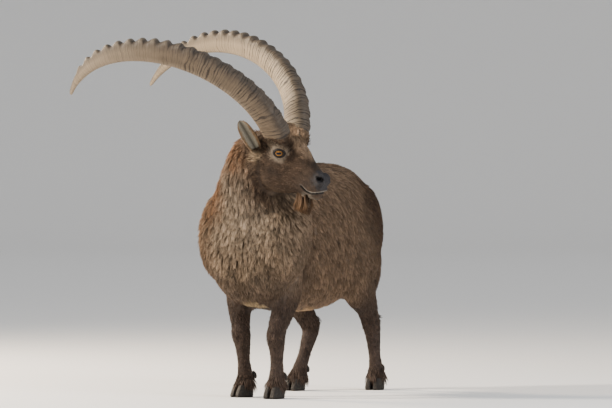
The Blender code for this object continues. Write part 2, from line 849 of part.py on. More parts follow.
def lid_cutter(side):
    """Return the almond that opens the lids over one eye."""
    bm = bmesh.new()
    aim = Vector((EYE_AIM[0], side * EYE_AIM[1], EYE_AIM[2])).normalized()
    up = Vector((0.0, 0.0, 1.0))
    wide = up.cross(aim).normalized()
    up = aim.cross(wide)
    centre = Vector((EYE_AT[0], side * EYE_AT[1], EYE_AT[2]))
    frame = head_frame()
    rings = []
    for far in LID_REACH:
        ring = []
        for k in range(LID_SIDES):
            angle = 2 * math.pi * k / LID_SIDES
            n = math.sin(angle)
            high = LID_OPENING[1] * math.copysign(abs(n) ** LID_CORNER, n)
            spot = wide * (LID_OPENING[0] * math.cos(angle)) + up * high
            ring.append(frame @ (centre + aim * far + spot * (1 + far * LID_FLARE)))
        rings.append(ring)
    add_rings(bm, rings)
    bmesh.ops.recalc_face_normals(bm, faces=bm.faces[:])
    return new_object("lid_cutter", bm)


def nostril_cutter(side):
    """Return the hollow of one nostril."""
    bm = bmesh.new()
    centre = (NOSTRIL_AT[0], side * NOSTRIL_AT[1], NOSTRIL_AT[2])
    turn = (side * NOSTRIL_TURN[0], NOSTRIL_TURN[1], side * NOSTRIL_TURN[2])
    spin = Euler([math.radians(a) for a in turn]).to_matrix().to_4x4()
    place = head_frame() @ Matrix.Translation(centre) @ spin @ Matrix.Diagonal((*NOSTRIL_SIZE, 1.0))
    bmesh.ops.create_icosphere(bm, subdivisions=2, radius=1.0, matrix=place)
    return new_object("nostril_cutter", bm)


def mouth_cutter(head):
    """Return the groove of the mouth, laid on the skin of the head from corner to corner."""
    frame = head_frame()
    tree = surface_tree(head)
    half = [Vector(row) for row in MOUTH]
    whole = [Vector((v.x, -v.y, v.z)) for v in half] + half[-2::-1]
    count = MOUTH_STEPS
    spots = []
    for k in range(count + 1):
        guess = frame @ Vector(spline_at(whole, k / count))
        spots.append(tree.find_nearest(guess)[0])
    rings = []
    for k, spot in enumerate(spots):
        ahead = (spots[min(k + 1, count)] - spots[max(k - 1, 0)]).normalized()
        up = (frame.to_3x3() @ Vector((0, 0, 1))).cross(ahead).normalized()
        fore = ahead.cross(up)
        radius = MOUTH_WIDTH * (1.0 if 0 < k < count else 0.6)
        ring = []
        for j in range(6):
            angle = math.pi * j / 3
            out = up * (1.6 * math.cos(angle)) + fore * (0.7 * math.sin(angle))
            ring.append(spot + out * radius)
        rings.append(ring)
    bm = bmesh.new()
    add_rings(bm, rings)
    bmesh.ops.recalc_face_normals(bm, faces=bm.faces[:])
    return new_object("mouth_cutter", bm)


def surface_tree(thing):
    """Return a search tree of an object's surface."""
    spots = [vert.co for vert in thing.data.vertices]
    return BVHTree.FromPolygons(spots, [face.vertices for face in thing.data.polygons])


def claw_outline(side, size, back, lead):
    """Return one claw's outline from above: straight inside, round outside, narrow at the toe."""
    points = []
    for k in range(CLAW_POINTS):
        angle = 2 * math.pi * k / CLAW_POINTS
        c = math.cos(angle)
        n = math.sin(angle)
        out = 0.5 + 0.5 * c * (1.0 - CLAW_TOE * max(0.0, n))
        width = size[0] * out + CLAW_SLIT / 2
        if c < -0.3:
            width = CLAW_SLIT / 2 + 0.003 * max(0.0, n)
        points.append(Vector((side * width, -n * size[1] / 2 - lead + back, 0.0)))
    return points


def make_claw(name, foot, turn, side):
    """Return one claw of a cloven hoof, flat on the floor, with its top at the coronet."""
    spin = Matrix.Rotation(math.radians(turn), 4, "Z")
    place = Matrix.Translation((foot[0], foot[1], 0.0)) @ spin
    rings = []
    for height, wide, long, back in CLAW_LEVELS:
        size = (CLAW_WIDTH * wide, CLAW_LENGTH * long)
        ring = claw_outline(side, size, back, CLAW_LEAD)
        rings.append([place @ (spot + Vector((0, 0, height))) for spot in ring])
    bm = bmesh.new()
    add_rings(bm, rings)
    bmesh.ops.recalc_face_normals(bm, faces=bm.faces[:])
    return new_object(name, bm)


def make_dewclaw(name, fetlock, turn, side, grow=0.0):
    """Return one dewclaw behind a pastern, or its pocket when grown."""
    bm = bmesh.new()
    spin = Matrix.Rotation(math.radians(turn), 4, "Z")
    aside = Matrix.Translation((side * DEWCLAW_ASIDE, DEWCLAW_BEHIND, 0.0))
    tilt = Matrix.Rotation(math.radians(DEWCLAW_TILT), 4, "X")
    place = Matrix.Translation(fetlock) @ spin @ aside @ tilt
    size = [half + grow for half in DEWCLAW_SIZE]
    rings = []
    for z, wide in DEWCLAW_RINGS:
        ring = []
        for k in range(8):
            angle = math.pi * k / 4
            ring.append(place @ Vector((
                size[0] * wide * math.cos(angle),
                size[1] * wide * math.sin(angle),
                size[2] * z,
            )))
        rings.append(ring)
    add_rings(bm, rings)
    bmesh.ops.recalc_face_normals(bm, faces=bm.faces[:])
    return new_object(name, bm)


def make_tail(name, grow=0.0):
    """Return the short tail, or the pocket for its root when grown."""
    bm = bmesh.new()
    girth = [(a + grow, b + grow) for a, b in TAIL_GIRTH]
    line = list(TAIL_LINE)
    line[0] = (line[0][0], line[0][1] - grow, line[0][2])
    add_limb(bm, line, girth, sides=12, steps=2)
    bmesh.ops.recalc_face_normals(bm, faces=bm.faces[:])
    return new_object(name, bm)


def dewclaw_place(line):
    """Return the middle of a leg at the height of its dewclaws."""
    low = Vector(line[-1])
    high = Vector(line[-2])
    f = (DEWCLAW_HEIGHT - low.z) / (high.z - low.z)
    return low.lerp(high, f)


def finish(thing, name, look):
    """Name an object, triangulate it, shade it smooth and give it its material."""
    bm = bmesh.new()
    bm.from_mesh(thing.data)
    bmesh.ops.triangulate(bm, faces=bm.faces[:])
    bm.to_mesh(thing.data)
    bm.free()
    thing.name = name
    thing.data.name = name
    thing.data.materials.clear()
    thing.data.materials.append(material(*look))
    thing.data.shade_smooth()
    thing.data.set_sharp_from_angle(angle=SHARP_ANGLE)


def part_leg(skin, end, side, turn):
    """Take one leg out of the skin; return the skin left and the leg's upper and lower parts."""
    line, girth, seam = {
        "fore": (FORE_LINE[side], FORE_GIRTH, FORE_SEAM),
        "hind": (HIND_LINE[side], HIND_GIRTH, HIND_SEAM),
    }[end]
    cutter = leg_cutter(seam, turn, line, girth)
    leg = combine(drawn_in(skin, 0.0), [drawn_in(cutter, GAP)], "INTERSECT", "leg")
    skin = combine(skin, [cutter], "DIFFERENCE", "skin")
    joint = Vector(line[LEG_JOINT])
    if end == "hind":
        joint.y += HOCK_BACK
    leg = combine(leg, [slab(joint, (*JOINT_CUT, GAP))], "DIFFERENCE", "leg")
    halves = loose_parts(leg)[:2]
    remove([leg])
    halves.sort(key=lambda bm: -middle(bm).z)
    legs = {}
    for half, bm in zip(("upper", "lower"), halves):
        legs[f"{end}_leg_{half}_{side}"] = new_object("half", bm)
    return skin, legs


def part_skin(skin):
    """Cut the skin and return its pieces by name."""
    skin = combine(skin, body_slabs() + [head_cutter()], "DIFFERENCE", "skin")
    parts = loose_parts(skin)[:2]
    remove([skin])
    parts.sort(key=lambda bm: -middle(bm).z)
    pieces = {"neck": new_object("neck", parts[0])}
    torso = new_object("torso", parts[1])
    for end in ("fore", "hind"):
        for side, turn in (("left", 1), ("right", -1)):
            torso, legs = part_leg(torso, end, side, turn)
            pieces.update(legs)
    pieces["torso"] = largest(torso, "torso")
    return pieces


def build_head():
    """Fuse the head finely and cut it off its neck."""
    bm = bmesh.new()
    add_head(bm, head_frame())
    line = [row[0] for row in NECK[2:]]
    girth = [(row[1], row[1]) for row in NECK[2:]]
    add_limb(bm, line, girth, sides=24)
    fine = fuse(bm, "fine_head", *HEAD_MESH)
    cutter = head_cutter()
    head = largest(combine(fine, [drawn_in(cutter, GAP)], "INTERSECT", "head"), "head")
    remove([cutter])
    cutters = [mouth_cutter(head)]
    for side in (-1, 1):
        cutters.append(make_horn("socket", side, GAP, HORN_SOCKET))
        cutters.append(make_ear("pocket", side, GAP, EAR_POCKET))
        cutters.append(make_eye("hollow", side, GAP))
        cutters.append(lid_cutter(side))
        cutters.append(nostril_cutter(side))
    head = combine(head, cutters, "DIFFERENCE", "head", "MANIFOLD")
    return largest(head, "head")


def largest(thing, name):
    """Keep only the largest closed surface of an object."""
    parts = loose_parts(thing)
    for bm in parts[1:]:
        bm.free()
    remove([thing])
    return new_object(name, parts[0])


def make_lock(path, faces, width, thickness):
    """Return one flat tapered lock along a path of points, with the way each point of it faces."""
    rings = []
    for k in range(len(path) - 1):
        t = k / (len(path) - 1)
        ahead = (path[k + 1] - path[max(k - 1, 0)]).normalized()
        across = ahead.cross(faces[k]).normalized()
        up = across.cross(ahead)
        swell = 0.55 + 0.45 * math.sin(math.pi * min(1.0, 0.1 + 1.2 * t))
        half = across * (width / 2 * swell * (1 - 0.45 * t * t))
        deep = up * (thickness / 2 * (1.0 - 0.5 * t))
        rings.append([path[k] + half, path[k] + deep, path[k] - half, path[k] - deep])
    bm = bmesh.new()
    loops = [[bm.verts.new(point) for point in ring] for ring in rings]
    for low, high in zip(loops, loops[1:]):
        for i in range(4):
            j = (i + 1) % 4
            bm.faces.new((low[i], low[j], high[j]))
            bm.faces.new((low[i], high[j], high[i]))
    tip = bm.verts.new(path[-1])
    for i in range(4):
        bm.faces.new((loops[-1][i], loops[-1][(i + 1) % 4], tip))
    bm.faces.new(loops[0][::-1])
    bmesh.ops.recalc_face_normals(bm, faces=bm.faces[:])
    return new_object("lock", bm)


def lying_lock(tree, root, flow, length, width, draw, lift=LOCK_LIFT):
    """Return a lock that is rooted under a surface and lies along it, bending a little to one side."""
    steps = LOCK_STEPS
    spot, normal, _, _ = tree.find_nearest(Vector(root))
    bend = draw.uniform(-LOCK_BEND, LOCK_BEND)
    length *= draw.uniform(1 - LOCK_VARY, 1 + LOCK_VARY)
    path = []
    faces = []
    for k in range(steps + 1):
        t = k / steps
        height = -LOCK_ROOT * (1 - t) ** 5 + lift * t ** 0.9
        path.append(spot + normal * height)
        faces.append(normal)
        way = flow - normal * flow.dot(normal)
        aside = way.cross(normal).normalized() * (bend * (t + 0.2))
        way = (way.normalized() + aside).normalized()
        spot, normal, _, _ = tree.find_nearest(spot + way * (length / steps))
    return make_lock(path, faces, width, LOCK_THICKNESS)


def hanging_lock(root, flow, bend, length, width, face):
    """Return a lock that hangs from its root, curving towards the bend on its way."""
    path = []
    for k in range(LOCK_STEPS + 1):
        t = k / LOCK_STEPS
        path.append(root + flow * (length * t) + bend * (length * t * t))
    return make_lock(path, [face] * len(path), width, LOCK_THICKNESS * 1.3)


def neck_locks(tree, neck, draw):
    """Return the locks of the neck in tiers, each over the roots of the next, and of the nape."""
    own = surface_tree(neck)
    axis = (Vector(NECK[0][0]) - Vector(NECK[-1][0])).normalized()
    flow = (axis + Vector((0, 0, -LOCK_HANG))).normalized()
    front = Vector((0.05, -1.0, 0.0))
    front = (front - axis * front.dot(axis)).normalized()
    side = axis.cross(front)
    locks = []
    for row, (centre, count, arc, length, width) in enumerate(NECK_TIERS):
        for k in range(count):
            angle = math.radians(arc) * (2 * (k + 0.5) / count - 1)
            angle += draw.uniform(-0.06, 0.06) + 0.04 * (-1) ** row
            out = front * math.cos(angle) + side * math.sin(angle)
            hit = tree.ray_cast(Vector(centre), out)[0]
            if clear_of_cuts(tree, own, hit, length):
                locks.append(lying_lock(tree, hit, flow, length, width, draw))
    line = [row[0] for row in NAPE]
    ways = [row[1] for row in NAPE]
    for k in range(NAPE_COUNT):
        t = (k + 0.5) / NAPE_COUNT
        aside = side * draw.uniform(-NAPE_SPREAD, NAPE_SPREAD)
        out = (Vector(spline_at(ways, t)) + aside).normalized()
        hit = tree.ray_cast(Vector(spline_at(line, t)), out)[0]
        if clear_of_cuts(tree, own, hit, NAPE_LENGTH):
            locks.append(lying_lock(tree, hit, axis, NAPE_LENGTH, NAPE_WIDTH, draw, NAPE_LIFT))
    return locks


def clear_of_cuts(tree, own, spot, length):
    """Tell whether a lock has room for its root in the neck, in front of the cut to the trunk."""
    if spot is None or own.find_nearest(spot)[3] > LOCK_THICKNESS / 4:
        return False
    normal = tree.find_nearest(spot)[1]
    wall = own.ray_cast(spot - normal * LOCK_THICKNESS / 2, -normal)[3]
    if wall is None or wall < 1.6 * LOCK_ROOT:
        return False
    ahead = Vector((0.0, -math.sin(NECK_CUT_TILT), math.cos(NECK_CUT_TILT)))
    return (spot - Vector(NECK_CUT_AT)).dot(ahead) > LOCK_CLEAR * length


def beard_locks():
    """Return the locks of the beard, hanging from the chin."""
    frame = head_frame()
    face = frame.to_3x3() @ Vector((0.35, 1.0, 0.0))
    back = Vector((-0.10, 0.10, 0.0))
    down = Vector((0.0, 0.0, -1.0))
    locks = []
    for k, root in enumerate(BEARD):
        spot = frame @ Vector(root)
        spread = frame.to_3x3() @ Vector((0.0, root[1] * BEARD_SPREAD, 0.0))
        length = BEARD_LENGTH * (1.0 - 0.09 * (k % 3))
        locks.append(hanging_lock(spot, down, back + spread, length, BEARD_WIDTH, face))
    return locks


def tail_locks():
    """Return the locks round the end of the tail."""
    root = Vector(spline_at(TAIL_LINE, TAIL_LOCK_AT))
    down = (Vector(TAIL_LINE[-1]) - root).normalized()
    locks = []
    for k in range(TAIL_LOCKS):
        angle = 2 * math.pi * (k + 0.25) / TAIL_LOCKS
        out = Vector((math.cos(angle), 0.6 * math.sin(angle), 0.0))
        bend = Vector((-0.10 * out.x, 0.06, 0.0))
        spot = root + out * TAIL_LOCK_OUT
        flow = down + 0.22 * out
        locks.append(hanging_lock(spot, flow, bend, TAIL_LOCK_LENGTH, TAIL_LOCK_WIDTH, out))
    return locks


def with_locks(piece, locks, name):
    """Join locks to the piece they grow from and keep the one closed surface."""
    return largest(combine(piece, locks, "UNION", name, "MANIFOLD"), name)


def stand_on_origin():
    """Hang every piece on an empty that brings the middle of the animal's floor area to the origin."""
    things = [thing for thing in bpy.data.objects if thing.type == "MESH"]
    spots = np.array([vert.co for thing in things for vert in thing.data.vertices])
    low = spots.min(axis=0)
    high = spots.max(axis=0)
    root = bpy.data.objects.new("ibex_frame", None)
    bpy.context.scene.collection.objects.link(root)
    root.location = (-(low[0] + high[0]) / 2, -(low[1] + high[1]) / 2, -low[2])
    for thing in things:
        thing.parent = root


def make_feet(pieces):
    """Add claws and dewclaws, and give each lower leg the pockets of its dewclaws."""
    for foot, line in FEET:
        turn = TOE_TURN[foot]
        spot = dewclaw_place(line)
        leg = foot.replace("_", "_leg_lower_")
        pockets = [make_dewclaw("pocket", spot, turn, side, GAP) for side in (-1, 1)]
        pieces[leg] = largest(combine(pieces[leg], pockets, "DIFFERENCE", leg), leg)
        for side, where in SIDES:
            finish(make_claw("claw", line[-1], turn, side), f"hoof_{foot}_{where}_claw", HOOF)
            dewclaw = make_dewclaw("dewclaw", spot, turn, side)
            finish(dewclaw, f"dewclaw_{foot}_{where}", HOOF)


def main():
    """Build the whole animal."""
    clear_scene()
    skin = fuse(body_forms(), "skin", *SKIN_MESH)
    tree = surface_tree(skin)
    pieces = part_skin(skin)
    make_feet(pieces)
    pocket = make_tail("pocket", GAP)
    pieces["torso"] = largest(combine(pieces["torso"], [pocket], "DIFFERENCE", "torso"), "torso")
    pieces["head"] = build_head()
    locks = neck_locks(tree, pieces["neck"], random.Random(LOCK_SEED))
    neck = with_locks(pieces["neck"], locks, "neck")
    cutters = [head_cutter()] + [make_ear("pocket", side, GAP, EAR_POCKET) for side in (-1, 1)]
    pieces["neck"] = largest(combine(neck, cutters, "DIFFERENCE", "neck", "MANIFOLD"), "neck")
    pieces["head"] = with_locks(pieces["head"], beard_locks(), "head")
    pieces["tail"] = with_locks(make_tail("tail"), tail_locks(), "tail")
    for side, where in SIDES:
        finish(make_horn("horn", side), f"horn_{where}", HORN)
        finish(make_ear("ear", side), f"ear_{where}", EAR)
        finish(make_eye("eye", side), f"eye_{where}", EYE)
    for name, piece in pieces.items():
        finish(piece, name, DARK_COAT if "lower" in name else COAT)
    stand_on_origin()


if __name__ == "__main__":
    main()
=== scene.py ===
import copy
import json
import math

import bpy
import numpy as np
from mathutils import Matrix, Vector
from mathutils.bvhtree import BVHTree
from mathutils.kdtree import KDTree

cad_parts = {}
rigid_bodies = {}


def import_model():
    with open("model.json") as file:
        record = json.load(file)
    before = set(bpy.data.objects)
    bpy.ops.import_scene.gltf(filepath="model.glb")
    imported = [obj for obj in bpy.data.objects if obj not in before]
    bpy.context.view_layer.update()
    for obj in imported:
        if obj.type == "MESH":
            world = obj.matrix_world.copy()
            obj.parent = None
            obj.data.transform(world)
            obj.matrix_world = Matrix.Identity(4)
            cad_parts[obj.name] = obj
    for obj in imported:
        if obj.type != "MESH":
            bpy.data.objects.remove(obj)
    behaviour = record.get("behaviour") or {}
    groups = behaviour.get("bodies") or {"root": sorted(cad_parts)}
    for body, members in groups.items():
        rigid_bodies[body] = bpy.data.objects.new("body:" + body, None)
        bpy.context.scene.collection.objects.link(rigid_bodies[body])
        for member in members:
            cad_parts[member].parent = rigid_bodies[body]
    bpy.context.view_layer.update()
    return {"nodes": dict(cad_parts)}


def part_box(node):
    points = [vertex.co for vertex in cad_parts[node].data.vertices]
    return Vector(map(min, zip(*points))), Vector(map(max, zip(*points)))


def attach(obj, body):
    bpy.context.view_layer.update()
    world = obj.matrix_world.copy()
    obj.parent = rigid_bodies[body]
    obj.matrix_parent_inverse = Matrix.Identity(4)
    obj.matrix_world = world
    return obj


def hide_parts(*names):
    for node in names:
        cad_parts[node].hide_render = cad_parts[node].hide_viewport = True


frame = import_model()

bl_info = {
    "name": "Alpine ibex",
    "version": (1, 0, 0),
    "blender": (4, 5, 0),
    "location": "View3D > Sidebar > Ibex",
    "description": "An adult male alpine ibex in its winter coat, life size",
    "category": "Add Mesh",
}

# The animal faces -Y, its own left is +X and up is +Z. Places below are measured from the floor
# midway between its forefeet
CLAW_CORNER = Vector((0.0790, -0.0558, 0.0))
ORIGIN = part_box("hoof_fore_left_left_claw")[0] - CLAW_CORNER

# Head: where its own frame stands, and how that is turned, in degrees
HEAD_AT = (0.184, -0.140, 0.906)
HEAD_TURN = (-3.9, 29.9, 4.9)

# Camera: how far it stands round from the front, its height and distance, the width of its view there,
# where it looks, to its right and down, its sensor in millimetres, and how far it sees
CAMERA_ROUND = math.radians(25.0)
CAMERA_HEIGHT = 0.868
CAMERA_DISTANCE = 18.0
VIEW_WIDTH = 2.2032
VIEW_AIM = (0.180, -0.1692)
SENSOR = 36.0
SIGHT = 100.0

# Stage: drop of the floor under the soles, which keeps them clear of it, radius of the level floor,
# radius and steps of its bend up into the wall, and height of the wall
FLOOR_DROP = 0.0006
STAGE_RADIUS = 29.0
STAGE_BEND = 5.0
STAGE_BENDS = 12
STAGE_WALL = 12.0
FLOOR_TONE = (0.80, 0.79, 0.78)
SKY_TONE = (0.90, 0.92, 0.94)
SKY_STRENGTH = 0.85

# Lamps: how far they stand towards the camera, to its right and up, size, power and colour
LAMPS = (
    ("key", (1.0, -5.0, 2.8), 0.8, 760.0, (1.0, 0.90, 0.76)),
    ("fill", (4.0, 4.2, 2.4), 2.4, 300.0, (0.94, 0.97, 1.0)),
    ("rim", (-3.2, -4.0, 2.6), 1.2, 520.0, (1.0, 0.80, 0.58)),
)
LAMP_AIM = Vector((0.0, 0.0, 0.6))

# Solids under the skin: how near loose corners are merged, and how far each form is swelled so
# that touching ones run into each other
MERGE = 0.00002
BODY_SWELL = 0.0008
HEAD_SWELL = 0.0004

# Rounds of smoothing: of the coat's depth, the whole skin, the neck, and the seam behind the jaw
DEPTH_ROUNDS = 25
SKIN_ROUNDS = 8
NECK_ROUNDS = 70
SEAM_ROUNDS = 90

# Neck: centre line and half thickness, from the shoulders to inside the skull
NECK = (
    ((-0.010, 0.090, 0.590), 0.186),
    ((-0.008, 0.010, 0.670), 0.164),
    ((0.012, -0.050, 0.750), 0.130),
    ((0.036, -0.095, 0.820), 0.107),
    ((0.064, -0.122, 0.870), 0.092),
    ((0.100, -0.132, 0.900), 0.074),
)

# Round forms under the neck's coat: middle, half sizes and tilt of throat, breast and shoulders
NECK_FORMS = (
    ((0.0, -0.040, 0.620), (0.131, 0.116, 0.166), 0.0),
    ((0.010, -0.085, 0.720), (0.101, 0.071, 0.126), 20.0),
    ((0.131, -0.020, 0.590), (0.084, 0.122, 0.174), -14.0),
    ((-0.131, 0.015, 0.590), (0.084, 0.122, 0.174), -14.0),
)

# Fore part of the trunk: distance behind the forefeet, top line, underside, half width, and the
# power that makes its rings squarish
BREAST = (
    (-0.146, 0.640, 0.434, 0.066),
    (-0.106, 0.726, 0.379, 0.131),
    (-0.040, 0.806, 0.339, 0.166),
    (0.060, 0.858, 0.322, 0.174),
    (0.160, 0.862, 0.310, 0.180),
    (0.240, 0.850, 0.310, 0.185),
)
BREAST_SQUARE = 0.86

# Tail: centre line and half thickness
TAIL = (
    ((0.0, 0.790, 0.752), 0.020),
    ((0.0, 0.852, 0.738), 0.019),
    ((0.0, 0.880, 0.700), 0.017),
    ((0.0, 0.889, 0.655), 0.012),
    ((0.0, 0.888, 0.620), 0.005),
)

# Block that takes the solid's beard off the chin, in the head's frame: middle, size and tilt
BEARD_BLOCK = ((0.154, 0.0, -0.1765), (0.086, 0.120, 0.110), -17.0)

# Horns: length, half spacing of the roots, share of the length that the head hides, bend and spread
# along them in degrees, girth, how the width changes from back to front, and the powers that make
# the section squarish
HORN_LENGTH = 1.036
HORN_HALF_GAP = 0.037
HORN_START = 0.018
HORN_BEND = (21.2, 269.9, -317.6, 208.3)
HORN_SPREAD = (30.3, -16.8, -27.4)
HORN_DEPTH = 0.100
HORN_WIDTH = 0.065
HORN_WEDGE = (0.90, 0.22)
HORN_SQUARE = (0.80, 0.75)
HORN_TAPER = (1.0, 0.97, 0.93, 0.90, 0.86, 0.81, 0.75, 0.66, 0.53, 0.36, 0.13)
HORN_STEPS = 820
HORN_SIDES = 40

# Ridges and fine growth rings: steps along the horn and height
RIDGE_STEP = 0.0125
RIDGE_HEIGHT = 0.0026
RING_STEP = 0.0042
RING_HEIGHT = 0.00030

# Their unevenness: how far they shift along the horn, over what length, and the start
RIDGE_SHIFTS = ((0.0042, 0.083, 0.4), (0.0019, 0.031, 1.3), (0.0008, 0.017, 2.1))

# Knobs on the front: number, where they start, over what share of the horn, height near the root,
# growth beyond it, and the share of each that rises
KNOBS = 20
KNOB_START = 0.055
KNOB_REACH = 0.865
KNOB_LOW = 0.004
KNOB_GROWTH = 0.009
KNOB_RISE = 0.36

# Raised skin round a horn's root: distance along the horn, and width beside the horn's own
BROW = ((0.000, 0.90), (0.014, 1.10), (0.030, 1.14), (0.044, 1.08), (0.050, 0.98))

# Ears: places and directions in the head's frame, size, columns across, tones, tufts a square metre
EAR_ROOT = (-0.066, 0.050, -0.058)
EAR_AIM = (-0.074, 0.078, 0.088)
EAR_FACE = (0.77, 0.64, 0.07)
EAR_LENGTH = 0.136
EAR_WIDTH = 0.049
EAR_THICKNESS = 0.004
EAR_COLUMNS = 12
EAR_INSIDE = (0.250, 0.225, 0.175)
EAR_OUTSIDE = (0.085, 0.055, 0.036)
EAR_RIM = (0.200, 0.130, 0.075)
EAR_TUFTS = 170000

# Fur of the ears: length, width and lift of a tuft inside and outside, and how much longer the
# inner ones are at the edge
EAR_FUR_IN = (0.004, 0.0012, 0.30)
EAR_FUR_OUT = (0.007, 0.0020, 0.14)
EAR_FUR_EDGE = 0.008

# Eyes: size, place and direction in the head's frame, half sizes of the pupil as share of the eye's
# own, and how far the skin is drawn in round them
EYE_RADIUS = 0.0198
EYE_AT = (0.015, 0.0535, -0.012)
EYE_AIM = (0.38, 0.92, 0.06)
PUPIL = (0.48, 0.21)
EYE_SOCKET = 0.0040

# Eyelids: half sizes of the opening and of the dark rim, the rim's profile as share of the way out
# and height over it, points round it, the power that makes its corners pointed, how low it may meet
# the skin, and its tone at the opening and added towards the skin
LID_OPENING = (0.0146, 0.0094)
LID_RIM = (0.0262, 0.0180)
LID_PROFILE = (
    (0.0, -0.0020), (0.02, 0.0010), (0.10, 0.0030), (0.25, 0.0042), (0.45, 0.0040),
    (0.65, 0.0032), (0.85, 0.0020), (1.0, -0.0010), (0.9, -0.0055), (0.3, -0.0065),
)
LID_ROWS = 72
LID_POINTED = 1.15
LID_SUNK = -0.008
LID_TONES = ((0.003, 0.012), (0.0025, 0.008), (0.0025, 0.006))

# Hooves: height of the coronet, size of the grid that a claw is rounded off on, its share for the
# dewclaws, rounds of smoothing, and how many steps of the grid the flat sole takes in
CORONET = 0.044
HOOF_GRAIN = 0.0020
DEWCLAW_GRAIN = 0.7
HOOF_ROUNDS = 6
SOLE_STEPS = 1.6
FEET = ("fore_left", "fore_right", "hind_left", "hind_right")

SIDES = ((-1, "right"), (1, "left"))
ENDS = ("fore", "hind")
HALVES = ("upper", "lower")
LIMBS = [f"{end}_leg_{half}_{side}" for end in ENDS for half in HALVES for side in ("left", "right")]
FLESH = ["torso", "neck", "head", "tail"] + LIMBS

# Hollows between the masses of the body: middle, half sizes and depth
HOLLOWS = (
    ((0.170, 0.085, 0.58), (0.040, 0.044, 0.21), 0.017),
    ((-0.165, 0.020, 0.46), (0.036, 0.050, 0.12), 0.014),
    ((0.180, 0.480, 0.62), (0.040, 0.048, 0.19), 0.015),
    ((-0.180, 0.380, 0.62), (0.040, 0.048, 0.19), 0.015),
    ((0.000, -0.110, 0.42), (0.026, 0.060, 0.08), 0.014),
)

# Coat of each region: depth of the fur over the skin, length, width and lift of a tuft, tufts a
# square metre, and the way that it lies
COAT = {
    "torso": (0.0065, 0.027, 0.0027, 0.20, 45000, (0.0, 0.50, -0.87)),
    "neck": (0.0030, 0.040, 0.0025, 0.24, 68000, (-0.05, 0.35, -0.94)),
    "head": (0.0018, 0.010, 0.0018, 0.20, 165000, (0.0, 0.0, 0.0)),
    "tail": (0.0, 0.060, 0.0040, 0.30, 60000, (0.0, 0.10, -1.0)),
    "fore_leg_upper": (0.0045, 0.020, 0.0030, 0.20, 50000, (0.0, 0.20, -0.98)),
    "hind_leg_upper": (0.0055, 0.023, 0.0032, 0.20, 46000, (0.0, 0.42, -0.90)),
    "fore_leg_lower": (0.0022, 0.012, 0.0024, 0.20, 70000, (0.0, 0.10, -1.0)),
    "hind_leg_lower": (0.0022, 0.012, 0.0024, 0.20, 70000, (0.0, 0.10, -1.0)),
}
COAT_ROWS = [COAT[name.replace("_left", "").replace("_right", "")] for name in FLESH]

# Lie of the coat on the head and round the horns' roots, in the head's frame
HEAD_WAY = (-0.92, 0.0, -0.25)
COLLAR_WAY = (-0.35, 0.0, 0.94)

# What is added to length, width, lift and number of the tufts on the cheeks, in the fringe over the
# hooves, which reaches up to its top, and round the horns' roots
CHEEK_MORE = np.array((0.014, 0.0008, 0.0, 0.0))
FRINGE_MORE = np.array((0.026, 0.0012, 0.34, 40000.0))
FRINGE_TOP = 0.092
COLLAR_MORE = np.array((0.011, 0.0, 0.22, 0.0))

# Groups of tufts: the regions they cover, rings along a tuft, size of a lock, how far it draws its
# tufts together, how much locks differ in tone, and the shades of root and tip
COAT_GROUPS = {
    "head": ("head", 2, 0.008, 0.45, 0.22, ((0.60, 0.60, 0.60), (1.40, 1.38, 1.34))),
    "neck": ("neck", 3, 0.014, 0.72, 0.24, ((0.22, 0.20, 0.18), (1.98, 1.90, 1.76))),
    "tail": ("tail", 4, 0.015, 0.50, 0.20, ((0.50, 0.50, 0.50), (1.40, 1.25, 1.10))),
    "torso": ("torso", 2, 0.014, 0.64, 0.24, ((0.28, 0.27, 0.26), (1.82, 1.74, 1.62))),
    "fore_legs": ("fore", 2, 0.010, 0.50, 0.22, ((0.48, 0.47, 0.46), (1.45, 1.40, 1.32))),
    "hind_legs": ("hind", 2, 0.010, 0.50, 0.22, ((0.48, 0.47, 0.46), (1.45, 1.40, 1.32))),
}

# Most faces in a piece of coat, depth of a tuft's root in the skin, how it waves, its patch on the
# unwrap, least height over the floor, most faces of the shape that is unwrapped, and the angle and
# gap that part its charts
COAT_PIECE = 190000
TUFT_SINK = 0.0022
TUFT_WAVE = 0.035
TUFT_PATCH = 0.0028
FLOOR_GAP = 0.0010
CHART_FACES = 5000
CHART_ANGLE = math.radians(66.0)
CHART_GAP = 0.004

# What differs from tuft to tuft by chance: its way, its bend aside, its tone with the limits of
# that, and its length
WAY_VARY = 0.15
ASIDE_VARY = 0.12
TONE_VARY = (0.14, 0.5, 1.6)
LENGTH_VARY = (0.75, 1.2)

# Beard: number, length and tone of its tufts, where it grows along the chin from back to front, and
# how far to each side
BEARD_TUFTS = 420
BEARD_LENGTH = 0.080
BEARD_TONE = (0.070, 0.043, 0.026)
BEARD_ROOT = ((0.122, -0.118), (0.040, 0.014))
BEARD_HALF = 0.017

# Kinds of value that a mesh keeps at its points: their field and their number's type
NOTE_KINDS = {
    "INT": ("value", np.int32),
    "FLOAT": ("value", np.float32),
    "FLOAT_VECTOR": ("vector", np.float32),
    "FLOAT_COLOR": ("color", np.float32),
}

# Line of the mouth from its corner to the tip, seen from the side in the head's frame: ahead and up
MOUTH = ((0.138, -0.082), (0.163, -0.090), (0.187, -0.085), (0.204, -0.074), (0.216, -0.066))
MOUTH_DEPTH = 0.0042
LIP_RISE = 0.0014

# Tip of the nose, and the nostril: middle, half sizes of its pit and of the painted shade in it, and depth
NOSE_TIP = (0.205, 0.010, -0.035)
NOSTRIL_AT = (0.192, 0.028, -0.024)
NOSTRIL_PIT = (0.0150, 0.0120, 0.0056)
NOSTRIL_SHADE_SIZE = (0.0165, 0.0140, 0.0066)
NOSTRIL_DEPTH = 0.0060

# Middle of the skull in the head's frame, and how far the face's markings reach from it
SKULL_AT = (0.06, 0.0, -0.05)
SKULL_REACH = 0.22
